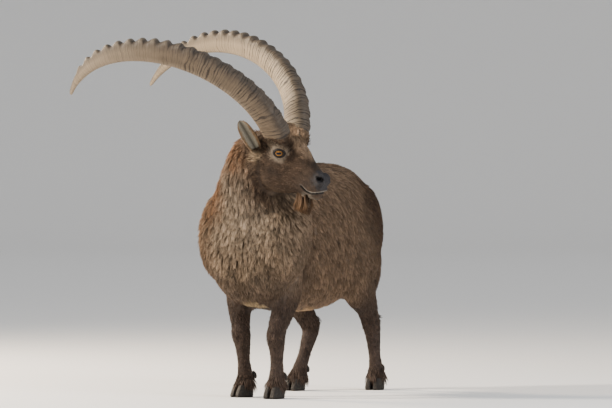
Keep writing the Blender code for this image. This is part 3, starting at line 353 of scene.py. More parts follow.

# Tones: a plain one for fur, brown of the body, dark of the legs, pale lip and mouth, painted shade in the
# nostril, and how much darker the skin is than the coat
FUR_TONE = (0.2, 0.13, 0.08)
BROWN = (0.112, 0.077, 0.053)
DARK = (0.043, 0.030, 0.025)
LIP = (0.210, 0.185, 0.160)
MOUTH_TONE = (0.008, 0.007, 0.006)
NOSTRIL_SHADE = (0.005, 0.004, 0.004)
SKIN_SHADE = 0.7

# Height of the pale lip over the mouth's line, and its half width
LIP_HEIGHT = 0.0052
LIP_HALF = 0.0022

# Dark of the legs and of the feet: top and fade, its strength, and the stretch of the belly that is
# spared: middle, half length and fade
LEG_DARK = (0.46, 0.14)
FOOT_DARK = (0.30, 0.03)
DARK_SHARE = 0.92
BELLY_SPARED = (0.33, 0.20, 0.06)

# How softly markings and painted shade end, as share of their size: broad ones of the body, and fine ones
BROAD_FADE = 1.1
FINE_FADE = 0.5

# How markings and painted shade wave: by how much, over what size and the seeds, and clouds that lighten and
# darken
# them: strength, size and seed
BODY_WAVE = (0.012, 0.05, (1, 2, 3))
FACE_WAVE = (0.003, 0.02, (4, 5, 6))
BODY_CLOUDS = ((0.10, 0.09, 7), (0.07, 0.025, 8))
FACE_CLOUDS = ((0.16, 0.016, 9), (0.10, 0.008, 10))

# Markings of the body, and painted shade in two folds by the shoulders: place, radii, colour and strength
BODY_MARKS_AND_SHADE = (
    ((0.0, -0.08, 0.62), (0.20, 0.17, 0.26), (0.142, 0.112, 0.085), 0.85),
    ((0.0, -0.11, 0.49), (0.17, 0.11, 0.10), (0.098, 0.072, 0.051), 0.70),
    ((0.03, -0.13, 0.80), (0.12, 0.10, 0.11), (0.132, 0.106, 0.084), 0.85),
    ((0.13, -0.17, 0.77), (0.09, 0.09, 0.09), (0.050, 0.033, 0.023), 0.90),
    ((0.02, -0.08, 0.90), (0.09, 0.13, 0.09), (0.096, 0.042, 0.016), 0.90),
    ((-0.17, 0.00, 0.66), (0.08, 0.13, 0.26), (0.085, 0.049, 0.027), 0.75),
    ((-0.12, -0.13, 0.80), (0.06, 0.11, 0.13), (0.092, 0.043, 0.018), 0.90),
    # Painted shade: dark bands in the fold behind the left shoulder and in the fold between the right
    # shoulder and the chest, over the first two hollows
    ((0.175, 0.085, 0.56), (0.040, 0.034, 0.24), (0.050, 0.033, 0.022), 0.75),
    ((-0.165, -0.005, 0.46), (0.030, 0.050, 0.11), (0.056, 0.036, 0.024), 0.50),
    ((0.0, 0.08, 0.86), (0.10, 0.14, 0.08), (0.080, 0.050, 0.031), 0.80),
    ((0.0, 0.42, 0.86), (0.07, 0.42, 0.05), (0.056, 0.033, 0.020), 0.75),
    ((0.14, 0.75, 0.69), (0.14, 0.17, 0.25), (0.044, 0.027, 0.018), 0.88),
    ((-0.14, 0.72, 0.69), (0.14, 0.17, 0.25), (0.044, 0.027, 0.018), 0.88),
    ((0.0, 0.86, 0.72), (0.08, 0.10, 0.12), (0.055, 0.032, 0.021), 0.80),
    ((0.0, 0.90, 0.60), (0.16, 0.12, 0.16), (0.115, 0.064, 0.036), 0.60),
)

# Pale markings of the underside, laid over the dark of the legs
BELLY_MARKS = (
    ((0.0, 0.32, 0.290), (0.16, 0.17, 0.036), (0.260, 0.170, 0.088), 0.80),
    ((0.0, -0.03, 0.335), (0.045, 0.07, 0.034), (0.330, 0.255, 0.155), 0.85),
)

# Markings of the head, in its own frame and alike on both sides
FACE_MARKS = (
    ((0.060, 0.000, -0.030), (0.200, 0.130, 0.125), (0.037, 0.0235, 0.0155), 0.96),
    ((0.015, 0.060, -0.014), (0.036, 0.060, 0.032), (0.150, 0.118, 0.088), 0.90),
    ((0.050, 0.000, 0.045), (0.090, 0.044, 0.052), (0.200, 0.134, 0.086), 0.95),
    ((0.020, 0.020, 0.060), (0.045, 0.050, 0.040), (0.200, 0.134, 0.086), 0.90),
    ((0.110, 0.050, -0.026), (0.050, 0.030, 0.022), (0.050, 0.032, 0.021), 0.60),
    ((0.188, 0.010, -0.034), (0.040, 0.030, 0.036), (0.029, 0.027, 0.029), 0.90),
    ((0.180, 0.016, -0.104), (0.034, 0.030, 0.014), (0.085, 0.070, 0.056), 0.75),
    ((0.035, 0.062, -0.082), (0.028, 0.030, 0.018), (0.022, 0.014, 0.010), 0.50),
    ((0.148, 0.045, -0.066), (0.022, 0.030, 0.016), (0.026, 0.018, 0.014), 0.50),
    ((-0.050, 0.060, -0.062), (0.020, 0.030, 0.024), (0.165, 0.120, 0.078), 0.85),
    ((-0.010, 0.060, 0.026), (0.040, 0.040, 0.010), (0.045, 0.024, 0.014), 0.60),
)


def place(spot):
    """Return a place measured from between the forefeet, in the frame."""
    return ORIGIN + Vector(spot)


def head_frame():
    """Return the matrix from the head's own frame, nose along +X, to the frame."""
    yaw, pitch, roll = (math.radians(angle) for angle in HEAD_TURN)
    turn = Matrix.Rotation(yaw, 4, "Z") @ Matrix.Rotation(pitch, 4, "Y") @ Matrix.Rotation(roll, 4, "X")
    return Matrix.Translation(place(HEAD_AT)) @ turn


def on_side(spot, side):
    """Return a place or direction of the head's left half on the side asked for."""
    return spot[0], side * spot[1], spot[2]


def in_head(spots):
    """Return points of the frame in the head's own frame."""
    inverse = np.array(head_frame().inverted())
    return spots @ inverse[:3, :3].T + inverse[:3, 3]


def mirror(own):
    """Return points of the head laid over on its left side."""
    return np.c_[own[:, 0], np.abs(own[:, 1]), own[:, 2]]


def clamp(values):
    """Return values held between 0 and 1."""
    return np.clip(values, 0.0, 1.0)


def smooth(share):
    """Return a share from 0 to 1 with soft ends."""
    return share * share * (3 - 2 * share)


def unit(rows):
    """Return vectors made one long."""
    return rows / np.linalg.norm(rows, axis=-1, keepdims=True).clip(1e-9)


def away(spots, centre, radii=1.0):
    """Return how far points lie from a centre, in metres or as a share of its radii."""
    return np.linalg.norm((spots - np.array(centre)) / np.array(radii), axis=1)


def spline_at(points, t):
    """Return the point at t, from 0 to 1, of a smooth curve through the points."""
    rows = [np.asarray(row, dtype=float) for row in points]
    reach = min(max(t, 0.0), 1.0) * (len(rows) - 1)
    k = min(int(reach), len(rows) - 2)
    f = reach - k
    a = rows[max(k - 1, 0)]
    b = rows[k]
    c = rows[k + 1]
    d = rows[min(k + 2, len(rows) - 1)]
    square = 2 * a - 5 * b + 4 * c - d
    cube = 3 * b - a - 3 * c + d
    return 0.5 * (2 * b + (c - a) * f + square * f**2 + cube * f**3)


def number_at(numbers, t):
    """Return the number at t, from 0 to 1, of a smooth curve through the numbers."""
    return float(spline_at([(number,) for number in numbers], t)[0])


def deselect():
    """Leave edit mode and deselect everything."""
    if bpy.context.object and bpy.context.object.mode != "OBJECT":
        bpy.ops.object.mode_set(mode="OBJECT")
    for thing in bpy.context.view_layer.objects.selected[:]:
        thing.select_set(False)


def select(things):
    """Select objects, with the first of them active."""
    deselect()
    for thing in things:
        thing.select_set(True)
    bpy.context.view_layer.objects.active = things[0]


def on_faces(thing, operator, **settings):
    """Run an edit mode operator on all faces of an object."""
    select([thing])
    bpy.ops.object.mode_set(mode="EDIT")
    bpy.ops.mesh.select_all(action="SELECT")
    operator(**settings)
    bpy.ops.object.mode_set(mode="OBJECT")


def modify(thing, kind, **settings):
    """Add a modifier with its settings and apply it."""
    select([thing])
    change = thing.modifiers.new(kind.lower(), kind)
    for key, value in settings.items():
        setattr(change, key, value)
    bpy.ops.object.modifier_apply(modifier=change.name)


def combine(thing, operation, other):
    """Unite an object with another or cut the other out of it, and delete the other."""
    modify(thing, "BOOLEAN", operation=operation, object=other, solver="MANIFOLD")
    bpy.data.objects.remove(other, do_unlink=True)


def join(things):
    """Join objects into the first of them."""
    select(things)
    bpy.ops.object.join()
    return things[0]


def copied(things):
    """Return one object joined from copies of others, with nothing of the frame's notes on it."""
    select(things)
    bpy.ops.object.duplicate()
    if len(things) > 1:
        bpy.ops.object.join()
    copy_of = bpy.context.view_layer.objects.active
    for key in list(copy_of.keys()):
        del copy_of[key]
    return copy_of


def from_frame(names):
    """Return one object joined from copies of CAD nodes, with their loose triangles merged."""
    solid = copied([frame["nodes"][name] for name in names])
    bpy.ops.object.parent_clear(type="CLEAR_KEEP_TRANSFORM")
    on_faces(solid, bpy.ops.mesh.remove_doubles, threshold=MERGE)
    return solid


def add_object(name, data):
    """Link a new object to the scene."""
    thing = bpy.data.objects.new(name, data)
    bpy.context.scene.collection.objects.link(thing)
    return thing


def closed_object(name, spots, faces):
    """Make a closed surface from points and faces, with the faces turned outwards."""
    mesh = bpy.data.meshes.new(name)
    mesh.from_pydata([tuple(spot) for spot in spots], [], faces)
    thing = add_object(name, mesh)
    on_faces(thing, bpy.ops.mesh.normals_make_consistent, inside=False)
    return thing


def bands(rows, sides):
    """Return the faces between neighbouring rings of equal count, named by pairs of rings."""
    faces = []
    for low, high in rows:
        for k in range(sides):
            j = (k + 1) % sides
            faces.append((low * sides + k, low * sides + j, high * sides + j, high * sides + k))
    return faces


def tube_object(name, rings):
    """Make a closed surface through rings of equal count, with both ends closed."""
    sides = len(rings[0])
    faces = bands([(row, row + 1) for row in range(len(rings) - 1)], sides)
    faces.append(tuple(range(sides))[::-1])
    last = (len(rings) - 1) * sides
    faces.append(tuple(range(last, last + sides)))
    return closed_object(name, [spot for ring in rings for spot in ring], faces)


def sleeve(path, steps, sides, flat):
    """Return the rings of a round form along a path of centres and half thicknesses."""
    centres = [row[0] for row in path]
    rings = []
    for step in range(steps + 1):
        t = step / steps
        centre = place(spline_at(centres, t))
        half = number_at([row[1] for row in path], t)
        ahead = Vector(spline_at(centres, t + 0.02))
        ahead = (ahead - Vector(spline_at(centres, t - 0.02))).normalized()
        fore = Vector((1, 0, 0)).cross(ahead).normalized()
        side = ahead.cross(fore)
        ring = []
        for k in range(sides):
            angle = 2 * math.pi * k / sides
            ring.append(centre + side * (half * math.cos(angle)) + fore * (flat * half * math.sin(angle)))
        rings.append(ring)
    return rings


def arrays(thing):
    """Return an object's points, their normals and its triangles as arrays."""
    mesh = thing.data
    mesh.calc_loop_triangles()
    spots = np.empty(len(mesh.vertices) * 3)
    mesh.vertices.foreach_get("co", spots)
    normals = np.empty(len(mesh.vertices) * 3)
    mesh.vertices.foreach_get("normal", normals)
    corners = np.empty(len(mesh.loop_triangles) * 3, dtype=np.int32)
    mesh.loop_triangles.foreach_get("vertices", corners)
    return spots.reshape(-1, 3), normals.reshape(-1, 3), corners.reshape(-1, 3)


def move_points(thing, spots):
    """Put the points of a mesh where they are asked for."""
    thing.data.vertices.foreach_set("co", spots.ravel())
    thing.data.update()


def note(thing, name, kind, values):
    """Keep a value at every point of a mesh under a name."""
    field, number = NOTE_KINDS[kind]
    layer = thing.data.attributes.new(name, kind, "POINT")
    layer.data.foreach_set(field, np.asarray(values).astype(number).ravel())


def note_paint(thing, colour):
    """Keep the colour of every point of a mesh."""
    note(thing, "Marks", "FLOAT_COLOR", np.c_[colour, np.ones(len(colour))])


def edge_pairs(thing):
    """Return the two points of every edge."""
    pairs = np.empty(len(thing.data.edges) * 2, dtype=np.int32)
    thing.data.edges.foreach_get("vertices", pairs)
    return pairs.reshape(-1, 2)


def spread(values, pairs, rounds):
    """Return values of a surface's points, each drawn towards its neighbours' mean again and again."""
    values = values.astype(float).copy()
    flat = values.reshape(len(values), -1)
    count = np.bincount(pairs.ravel(), minlength=len(flat))[:, None].clip(1)
    for _ in range(rounds):
        total = np.empty_like(flat)
        for k in range(flat.shape[1]):
            there = np.bincount(pairs[:, 0], flat[pairs[:, 1], k], len(flat))
            back = np.bincount(pairs[:, 1], flat[pairs[:, 0], k], len(flat))
            total[:, k] = there + back
        flat += 0.5 * (total / count - flat)
    return values


def surface_tree(thing):
    """Return a search tree of an object's faces."""
    mesh = thing.data
    return BVHTree.FromPolygons([v.co for v in mesh.vertices], [p.vertices for p in mesh.polygons])


def nearest_region(spots):
    """Return for every point the place in FLESH of the CAD node that it lies nearest to."""
    corners = []
    faces = []
    owner = []
    for k, name in enumerate(FLESH):
        points, _, triangles = arrays(frame["nodes"][name])
        faces += (triangles + len(corners)).tolist()
        corners += points.tolist()
        owner += [k] * len(triangles)
    tree = BVHTree.FromPolygons(corners, faces)
    return np.array([owner[tree.find_nearest(spot)[2]] for spot in spots])


def present(thing, slot, look, *nodes):
    """Shade a piece smooth, give it its material, and let it stand for CAD nodes; the slot it is given is not
    used.
    """
    thing.data.shade_smooth()
    thing.data.materials.clear()
    thing.data.materials.append(look)
    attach(thing, "root")
    if nodes:
        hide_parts(*nodes)


def the_skin():
    """Return the skin, or stop where it hasn't been made."""
    skin = bpy.data.objects.get("skin")
    if skin is None:
        raise RuntimeError("this step needs the skin first")
    return skin


def new_material(name, colour, roughness, specular):
    """Return a material with its tree and shader."""
    look = bpy.data.materials.new(name)
    look.use_nodes = True
    shader = look.node_tree.nodes["Principled BSDF"]
    shader.inputs["Base Color"].default_value = (*colour, 1.0)
    shader.inputs["Roughness"].default_value = roughness
    shader.inputs["Specular IOR Level"].default_value = specular
    return look, look.node_tree, shader


def node(tree, kind, **inputs):
    """Add a shader node and set its inputs by name."""
    made = tree.nodes.new(kind)
    for key, value in inputs.items():
        made.inputs[key].default_value = value
    return made


def feed(tree, socket, value):
    """Set a socket to a number or a colour, or link another node's output to it."""
    if isinstance(value, tuple):
        socket.default_value = (*value, 1.0)
    elif isinstance(value, (int, float)):
        socket.default_value = value
    else:
        tree.links.new(value, socket)


def math_node(tree, operation, *values):
    """Add a math node and return its output."""
    made = tree.nodes.new("ShaderNodeMath")
    made.operation = operation
    for socket, value in zip(made.inputs, values):
        feed(tree, socket, value)
    return made.outputs[0]


def ramp(tree, value, low, high, start, end):
    """Add a node that maps a value between two limits to a share, and return its output."""
    made = tree.nodes.new("ShaderNodeMapRange")
    for socket, number in zip(made.inputs, (value, low, high, start, end)):
        feed(tree, socket, number)
    return made.outputs[0]


def mix_node(tree, share, first, second):
    """Mix two colours by a share and return the output."""
    made = tree.nodes.new("ShaderNodeMix")
    made.data_type = "RGBA"
    for k, value in ((0, share), (6, first), (7, second)):
        feed(tree, made.inputs[k], value)
    return made.outputs[2]


def attribute(tree, name, output):
    """Read what a mesh keeps at its points under a name."""
    made = tree.nodes.new("ShaderNodeAttribute")
    made.attribute_name = name
    return made.outputs[output]


def object_place(tree):
    """Return the output that gives a point's place in its object."""
    return tree.nodes.new("ShaderNodeTexCoord").outputs["Object"]


def apart(tree, vector):
    """Return the three parts of a vector."""
    made = tree.nodes.new("ShaderNodeSeparateXYZ")
    tree.links.new(vector, made.inputs[0])
    return made.outputs["X"], made.outputs["Y"], made.outputs["Z"]


def noise(tree, vector, **inputs):
    """Return a cloudy value that changes over a vector."""
    made = node(tree, "ShaderNodeTexNoise", **inputs)
    tree.links.new(vector, made.inputs["Vector"])
    return made.outputs["Fac"]


def emboss(tree, shader, height, strength, distance):
    """Lay fine relief on a material."""
    made = node(tree, "ShaderNodeBump", Strength=strength, Distance=distance)
    tree.links.new(height, made.inputs["Height"])
    tree.links.new(made.outputs["Normal"], shader.inputs["Normal"])


def mottle(spots, size, seed):
    """Return a smooth random value from about -1 to 1 at each point, with patches of the given size."""
    draw = np.random.default_rng(seed)
    waves = unit(draw.normal(size=(9, 3))) * (2 * math.pi / size) * draw.uniform(0.6, 1.6, (9, 1))
    phase = draw.uniform(0.0, 2 * math.pi, 9)
    return np.sin(spots @ waves.T + phase).sum(axis=1) / 3.0


def wave(spots, amount, size, seeds):
    """Return a smooth random shift at each point, with one seed for each direction."""
    return amount * np.stack([mottle(spots, size, seed) for seed in seeds], axis=1)


def patchy(colour, spots, clouds):
    """Return colours made lighter and darker by clouds."""
    factor = 1.0
    for strength, size, seed in clouds:
        factor = factor + strength * mottle(spots, size, seed)
    return colour * factor[:, None]


def tinted(colour, share, tone):
    """Return colours drawn towards a tone by a share."""
    share = share[:, None]
    return colour * (1 - share) + np.array(tone) * share


def laid_over(colour, here, overlays, fade):
    """Return colours with markings and painted shade laid over them, which fade out over the given share of
    their size.
    """
    for centre, radii, tone, strength in overlays:
        far = away(here, centre, radii)
        colour = tinted(colour, smooth(strength * clamp((1.0 + fade / 2 - far) / fade)), tone)
    return colour


def mouth_fold(own):
    """Return how far points of the head lie from the mouth's line, and how high over it."""
    line = np.array([spline_at(MOUTH, k / 40) for k in range(41)])
    above = own[:, 2] - np.interp(own[:, 0], line[:, 0], line[:, 1])
    beyond = np.clip(MOUTH[0][0] - own[:, 0], 0.0, None)
    return np.hypot(beyond, above), above


def face_marks_and_shade(face, tone):
    """Return the colours of points of the head's own frame with the face's markings and the nostrils' painted
    shade over them.
    """
    mirrored = mirror(face) + wave(face, *FACE_WAVE)
    tone = laid_over(tone, mirrored, FACE_MARKS, FINE_FADE)
    far, above = mouth_fold(face)
    lip = clamp(1.5 - np.abs(above - LIP_HEIGHT) / LIP_HALF) * (far < 0.010)
    lip *= np.clip((face[:, 0] - 0.130) / 0.045, 0.25, 1.0)
    tone = tinted(tone, lip, LIP)
    tone = tinted(tone, clamp((0.0048 - far) / 0.0012) * (above < 0.0030), MOUTH_TONE)
    # Painted shade: near-black inside each nostril's pit, standing for the dark of its deep opening
    hollow = away(mirrored, NOSTRIL_AT, NOSTRIL_SHADE_SIZE)
    tone = tinted(tone, clamp((1.15 - hollow) / 0.25), NOSTRIL_SHADE)
    return patchy(tone, face, FACE_CLOUDS)


def marks_and_shade(spots):
    """Return the colour of the coat at each point of the frame: its markings, with painted shade in the folds
    by the shoulders and in the nostrils.
    """
    here = spots - np.array(ORIGIN)
    rough = here + wave(here, *BODY_WAVE)
    colour = laid_over(np.tile(np.array(BROWN), (len(here), 1)), rough, BODY_MARKS_AND_SHADE, BROAD_FADE)
    middle, half, fade = BELLY_SPARED
    ends = clamp((np.abs(rough[:, 1] - middle) - half) / fade)
    legs, feet = (clamp((top - rough[:, 2]) / over) for top, over in (LEG_DARK, FOOT_DARK))
    colour = tinted(colour, DARK_SHARE * np.maximum(legs * ends, feet), DARK)
    colour = laid_over(colour, rough, BELLY_MARKS, FINE_FADE)
    own = in_head(spots)
    near = away(own, SKULL_AT) < SKULL_REACH
    if near.any():
        colour[near] = face_marks_and_shade(own[near], colour[near])
    return patchy(colour, here, BODY_CLOUDS)


class IbexCoat(bpy.types.PropertyGroup):
    """Sizes and numbers of the coat."""

    body_grain: bpy.props.FloatProperty(
        name="Body grain", description="Size of the grid of the body's skin", default=0.0068, unit="LENGTH")
    head_grain: bpy.props.FloatProperty(
        name="Head grain", description="Size of the grid of the head's skin", default=0.0026, unit="LENGTH")
    fullness: bpy.props.FloatProperty(
        name="Fullness", description="Share of the full number of tufts", default=1.0, min=0.05, max=1.0)
    seed: bpy.props.IntProperty(name="Seed", description="Start of the random draws", default=11)


class IBEX_OT_stage(bpy.types.Operator):
    """Lay the pale floor, set the soft lights and stand the camera where the photograph was taken"""

    bl_idname = "ibex.stage"
    bl_label = "Stage"

    def execute(self, context):
        right = Vector((math.cos(CAMERA_ROUND), math.sin(CAMERA_ROUND), 0.0))
        toward = Vector((math.sin(CAMERA_ROUND), -math.cos(CAMERA_ROUND), 0.0))
        self.lay_floor()
        self.set_lights(right, toward)
        self.stand_camera(right, toward)
        return {"FINISHED"}

    def lay_floor(self):
        """Lay a round floor whose far edge curves up into a wall."""
        deselect()
        bpy.ops.mesh.primitive_circle_add(
            vertices=128, radius=STAGE_RADIUS, fill_type="NGON", location=(0.0, 0.0, -FLOOR_DROP))
        floor = bpy.context.object
        floor.name = "floor"
        bpy.ops.object.mode_set(mode="EDIT")
        bpy.ops.mesh.select_all(action="SELECT")
        bpy.ops.mesh.region_to_loop()
        before = 0.0
        for step in range(1, STAGE_BENDS + 1):
            angle = math.pi / 2 * step / STAGE_BENDS
            rise = STAGE_BEND * (math.cos(before) - math.cos(angle))
            inner = STAGE_RADIUS + STAGE_BEND * math.sin(before)
            wide = (STAGE_RADIUS + STAGE_BEND * math.sin(angle)) / inner
            bpy.ops.mesh.extrude_edges_move(TRANSFORM_OT_translate={"value": (0.0, 0.0, rise)})
            bpy.ops.transform.resize(value=(wide, wide, 1.0), center_override=(0.0, 0.0, 0.0))
            before = angle
        bpy.ops.mesh.extrude_edges_move(TRANSFORM_OT_translate={"value": (0.0, 0.0, STAGE_WALL)})
        on_faces(floor, bpy.ops.mesh.normals_make_consistent, inside=True)
        floor.data.shade_smooth()
        floor.data.materials.append(new_material("pale floor", FLOOR_TONE, 0.9, 0.1)[0])

    def set_lights(self, right, toward):
        """Set a warm key at the camera's left, a wide fill, a light from behind and a pale sky."""
        for name, (near, aside, height), size, power, colour in LAMPS:
            lamp = bpy.data.lights.new(name, "AREA")
            lamp.size = size
            lamp.energy = power
            lamp.color = colour
            thing = add_object(name, lamp)
            thing.location = toward * near + right * aside + Vector((0.0, 0.0, height))
            thing.rotation_euler = (LAMP_AIM - thing.location).to_track_quat("-Z", "Y").to_euler()
        world = bpy.data.worlds.new("sky")
        world.use_nodes = True
        sky = world.node_tree.nodes["Background"]
        sky.inputs["Color"].default_value = (*SKY_TONE, 1.0)
        sky.inputs["Strength"].default_value = SKY_STRENGTH
        bpy.context.scene.world = world

    def stand_camera(self, right, toward):
        """Stand the camera far off with a long lens, turned square to its own view."""
        ground = Vector((ORIGIN.x, ORIGIN.y, 0.0))
        middle = ground + right * VIEW_AIM[0] + Vector((0.0, 0.0, CAMERA_HEIGHT))
        camera = bpy.data.cameras.new("camera")
        camera.sensor_width = SENSOR
        camera.lens = SENSOR * CAMERA_DISTANCE / VIEW_WIDTH
        camera.clip_end = SIGHT
        thing = add_object("camera", camera)
        thing.location = middle + toward * CAMERA_DISTANCE
        target = middle + Vector((0.0, 0.0, VIEW_AIM[1]))
        thing.rotation_euler = (target - thing.location).to_track_quat("-Z", "Y").to_euler()
        bpy.context.scene.camera = thing


class IBEX_OT_skin(bpy.types.Operator):
    """Draw one skin over the flesh, under the coat's depth"""

    bl_idname = "ibex.skin"
    bl_label = "Skin"

    def execute(self, context):
        settings = context.scene.ibex_coat
        skin = from_frame(["torso"] + LIMBS)
        on_faces(skin, bpy.ops.transform.shrink_fatten, value=BODY_SWELL)
        skin = join([skin, self.neck(), tube_object("tail_core", sleeve(TAIL, 12, 16, 0.7))])
        modify(skin, "REMESH", mode="VOXEL", voxel_size=settings.body_grain)
        head = self.bare_head()
        on_faces(head, bpy.ops.transform.shrink_fatten, value=HEAD_SWELL)
        head = join([head, self.brow(-1), self.brow(1)])
        modify(head, "REMESH", mode="VOXEL", voxel_size=settings.head_grain)
        combine(skin, "UNION", head)
        skin.name = "skin"
        self.draw_in(skin)
        note_paint(skin, marks_and_shade(arrays(skin)[0]) * SKIN_SHADE)
        present(skin, "coat", skin_material(), *FLESH)
        return {"FINISHED"}

    def bare_head(self):
        """Return a copy of the head without its beard."""
        head = from_frame(["head"])
        middle, size, tilt = BEARD_BLOCK
        deselect()
        bpy.ops.mesh.primitive_cube_add(size=1.0)
        block = bpy.context.object
        turn = Matrix.Rotation(math.radians(tilt), 4, "Y")
        block.data.transform(head_frame() @ Matrix.Translation(middle) @ turn @ Matrix.Diagonal((*size, 1.0)))
        combine(head, "DIFFERENCE", block)
        return head

    def brow(self, side):
        """Return the ring of raised skin that a horn grows out of."""
        matrix = head_frame()
        root = Vector(on_side((0.0, HORN_HALF_GAP, 0.0), side))
        ahead, front, out = horn_axes(side, *horn_angles(0.02))
        rings = []
        for along, wide in BROW:
            ring = []
            for k in range(40):
                angle = math.pi * k / 20
                deep = front * (HORN_DEPTH / 2 * wide * math.cos(angle))
                wedge = HORN_WEDGE[0] + HORN_WEDGE[1] * math.cos(angle)
                across = out * (HORN_WIDTH / 2 * wide * math.sin(angle) * wedge)
                ring.append(matrix @ (root + ahead * along + deep + across))
            rings.append(ring)
        return tube_object("brow", rings)

    def neck(self):
        """Return the neck's core under its locks, with the breast and the round forms beside it."""
        forms = [tube_object("neck_core", sleeve(NECK, 30, 32, 1.0)), self.breast()]
        for centre, radii, tilt in NECK_FORMS:
            deselect()
            bpy.ops.mesh.primitive_uv_sphere_add(segments=32, ring_count=16, radius=1.0)
            ball = bpy.context.object
            spin = Matrix.Rotation(math.radians(tilt), 4, "X")
            ball.data.transform(Matrix.Translation(place(centre)) @ spin @ Matrix.Diagonal((*radii, 1.0)))
            forms.append(ball)
        return join(forms)

    def breast(self):
        """Return the fore part of the trunk, which the neck runs into."""
        rings = []
        for step in range(21):
            along, top, low, half = spline_at(BREAST, step / 20)
            ring = []
            for k in range(32):
                angle = math.pi * k / 16
                across, up = math.cos(angle), math.sin(angle)
                across = math.copysign(abs(across) ** BREAST_SQUARE, across)
                up = math.copysign(abs(up) ** BREAST_SQUARE, up)
                ring.append(place((half * across, along, (top + low) / 2 + (top - low) / 2 * up)))
            rings.append(ring)
        return tube_object("breast_core", rings)

    def draw_in(self, skin):
        """Move the skin in by the coat's depth, even it out where regions meet, and shape the face."""
        spots, normals, _ = arrays(skin)
        pairs = edge_pairs(skin)
        region = nearest_region(spots)
        note(skin, "Region", "INT", region)
        depth = spread(np.array([row[0] for row in COAT_ROWS])[region], pairs, DEPTH_ROUNDS)
        foot = np.clip((spots[:, 2] - CORONET) / 0.03, 0.15, 1.0)
        own = in_head(spots)
        mirrored = mirror(own)
        bare = clamp(np.minimum(away(mirrored, EYE_AT) / 0.034, away(mirrored, NOSTRIL_AT) / 0.030) - 0.6)
        spots -= normals * (depth * foot * np.minimum(bare * 2.5, 1.0))[:, None]
        head = region == FLESH.index("head")
        back = clamp((0.035 - own[:, 0]) / 0.05) * clamp((-0.020 - own[:, 2]) / 0.03)
        calm = spread(np.where(head, back, 1.0), pairs, 12)
        joint = spread(np.where(region == FLESH.index("neck"), 1.0, 0.0), pairs, 30) * calm
        seam = clamp(1.0 - np.abs(own[:, 0] + 0.060) / 0.050) * clamp(-own[:, 2] / 0.03)
        seam *= away(own, 0.0) < 0.20
        shares = (calm, clamp(joint * 2.0), clamp(2.0 * seam))
        for rounds, share in zip((SKIN_ROUNDS, NECK_ROUNDS, SEAM_ROUNDS), shares):
            spots += (spread(spots, pairs, rounds) - spots) * share[:, None]
        for middle, radii, deep in HOLLOWS:
            near = clamp(1.4 - away(spots, place(middle), radii))
            spots -= normals * (deep * smooth(near))[:, None]
        for side in (-1, 1):
            centre, level, up, gaze = (np.array(axis) for axis in eye_axes(side))
            from_eye = spots - centre
            far = np.hypot(from_eye @ level / LID_RIM[0], from_eye @ up / LID_RIM[1])
            within = clamp((1.25 - far) / 0.4) * (from_eye @ gaze > -0.02) * head
            spots -= gaze * (EYE_SOCKET * within * (np.linalg.norm(from_eye, axis=1) < 0.05))[:, None]
        far = np.full(len(spots), 1.0)
        far[head], _ = mouth_fold(own[head])
        groove = clamp(1.0 - far / 0.0036)
        lip = clamp(1.0 - np.abs(far - 0.0075) / 0.005)
        pit = clamp(1.3 - away(mirrored, NOSTRIL_AT, NOSTRIL_PIT)) * head
        spots += normals * (LIP_RISE * lip - MOUTH_DEPTH * groove - NOSTRIL_DEPTH * pit)[:, None]
        move_points(skin, spots)


def skin_material():
    """Return the skin's material: the markings and their painted shade, with a short nap."""
    look, tree, shader = new_material("ibex skin", FUR_TONE, 0.85, 0.2)
    tree.links.new(attribute(tree, "Marks", "Color"), shader.inputs["Base Color"])
    emboss(tree, shader, noise(tree, object_place(tree), Scale=260.0, Detail=4.0), 0.5, 0.002)
    return look


def fur_material():
    """Return the fur's material: the markings and painted shade that each tuft carries, faintly glossy."""
    look, tree, shader = new_material("ibex fur", FUR_TONE, 0.70, 0.12)
    tree.links.new(attribute(tree, "Marks", "Color"), shader.inputs["Base Color"])
    return look


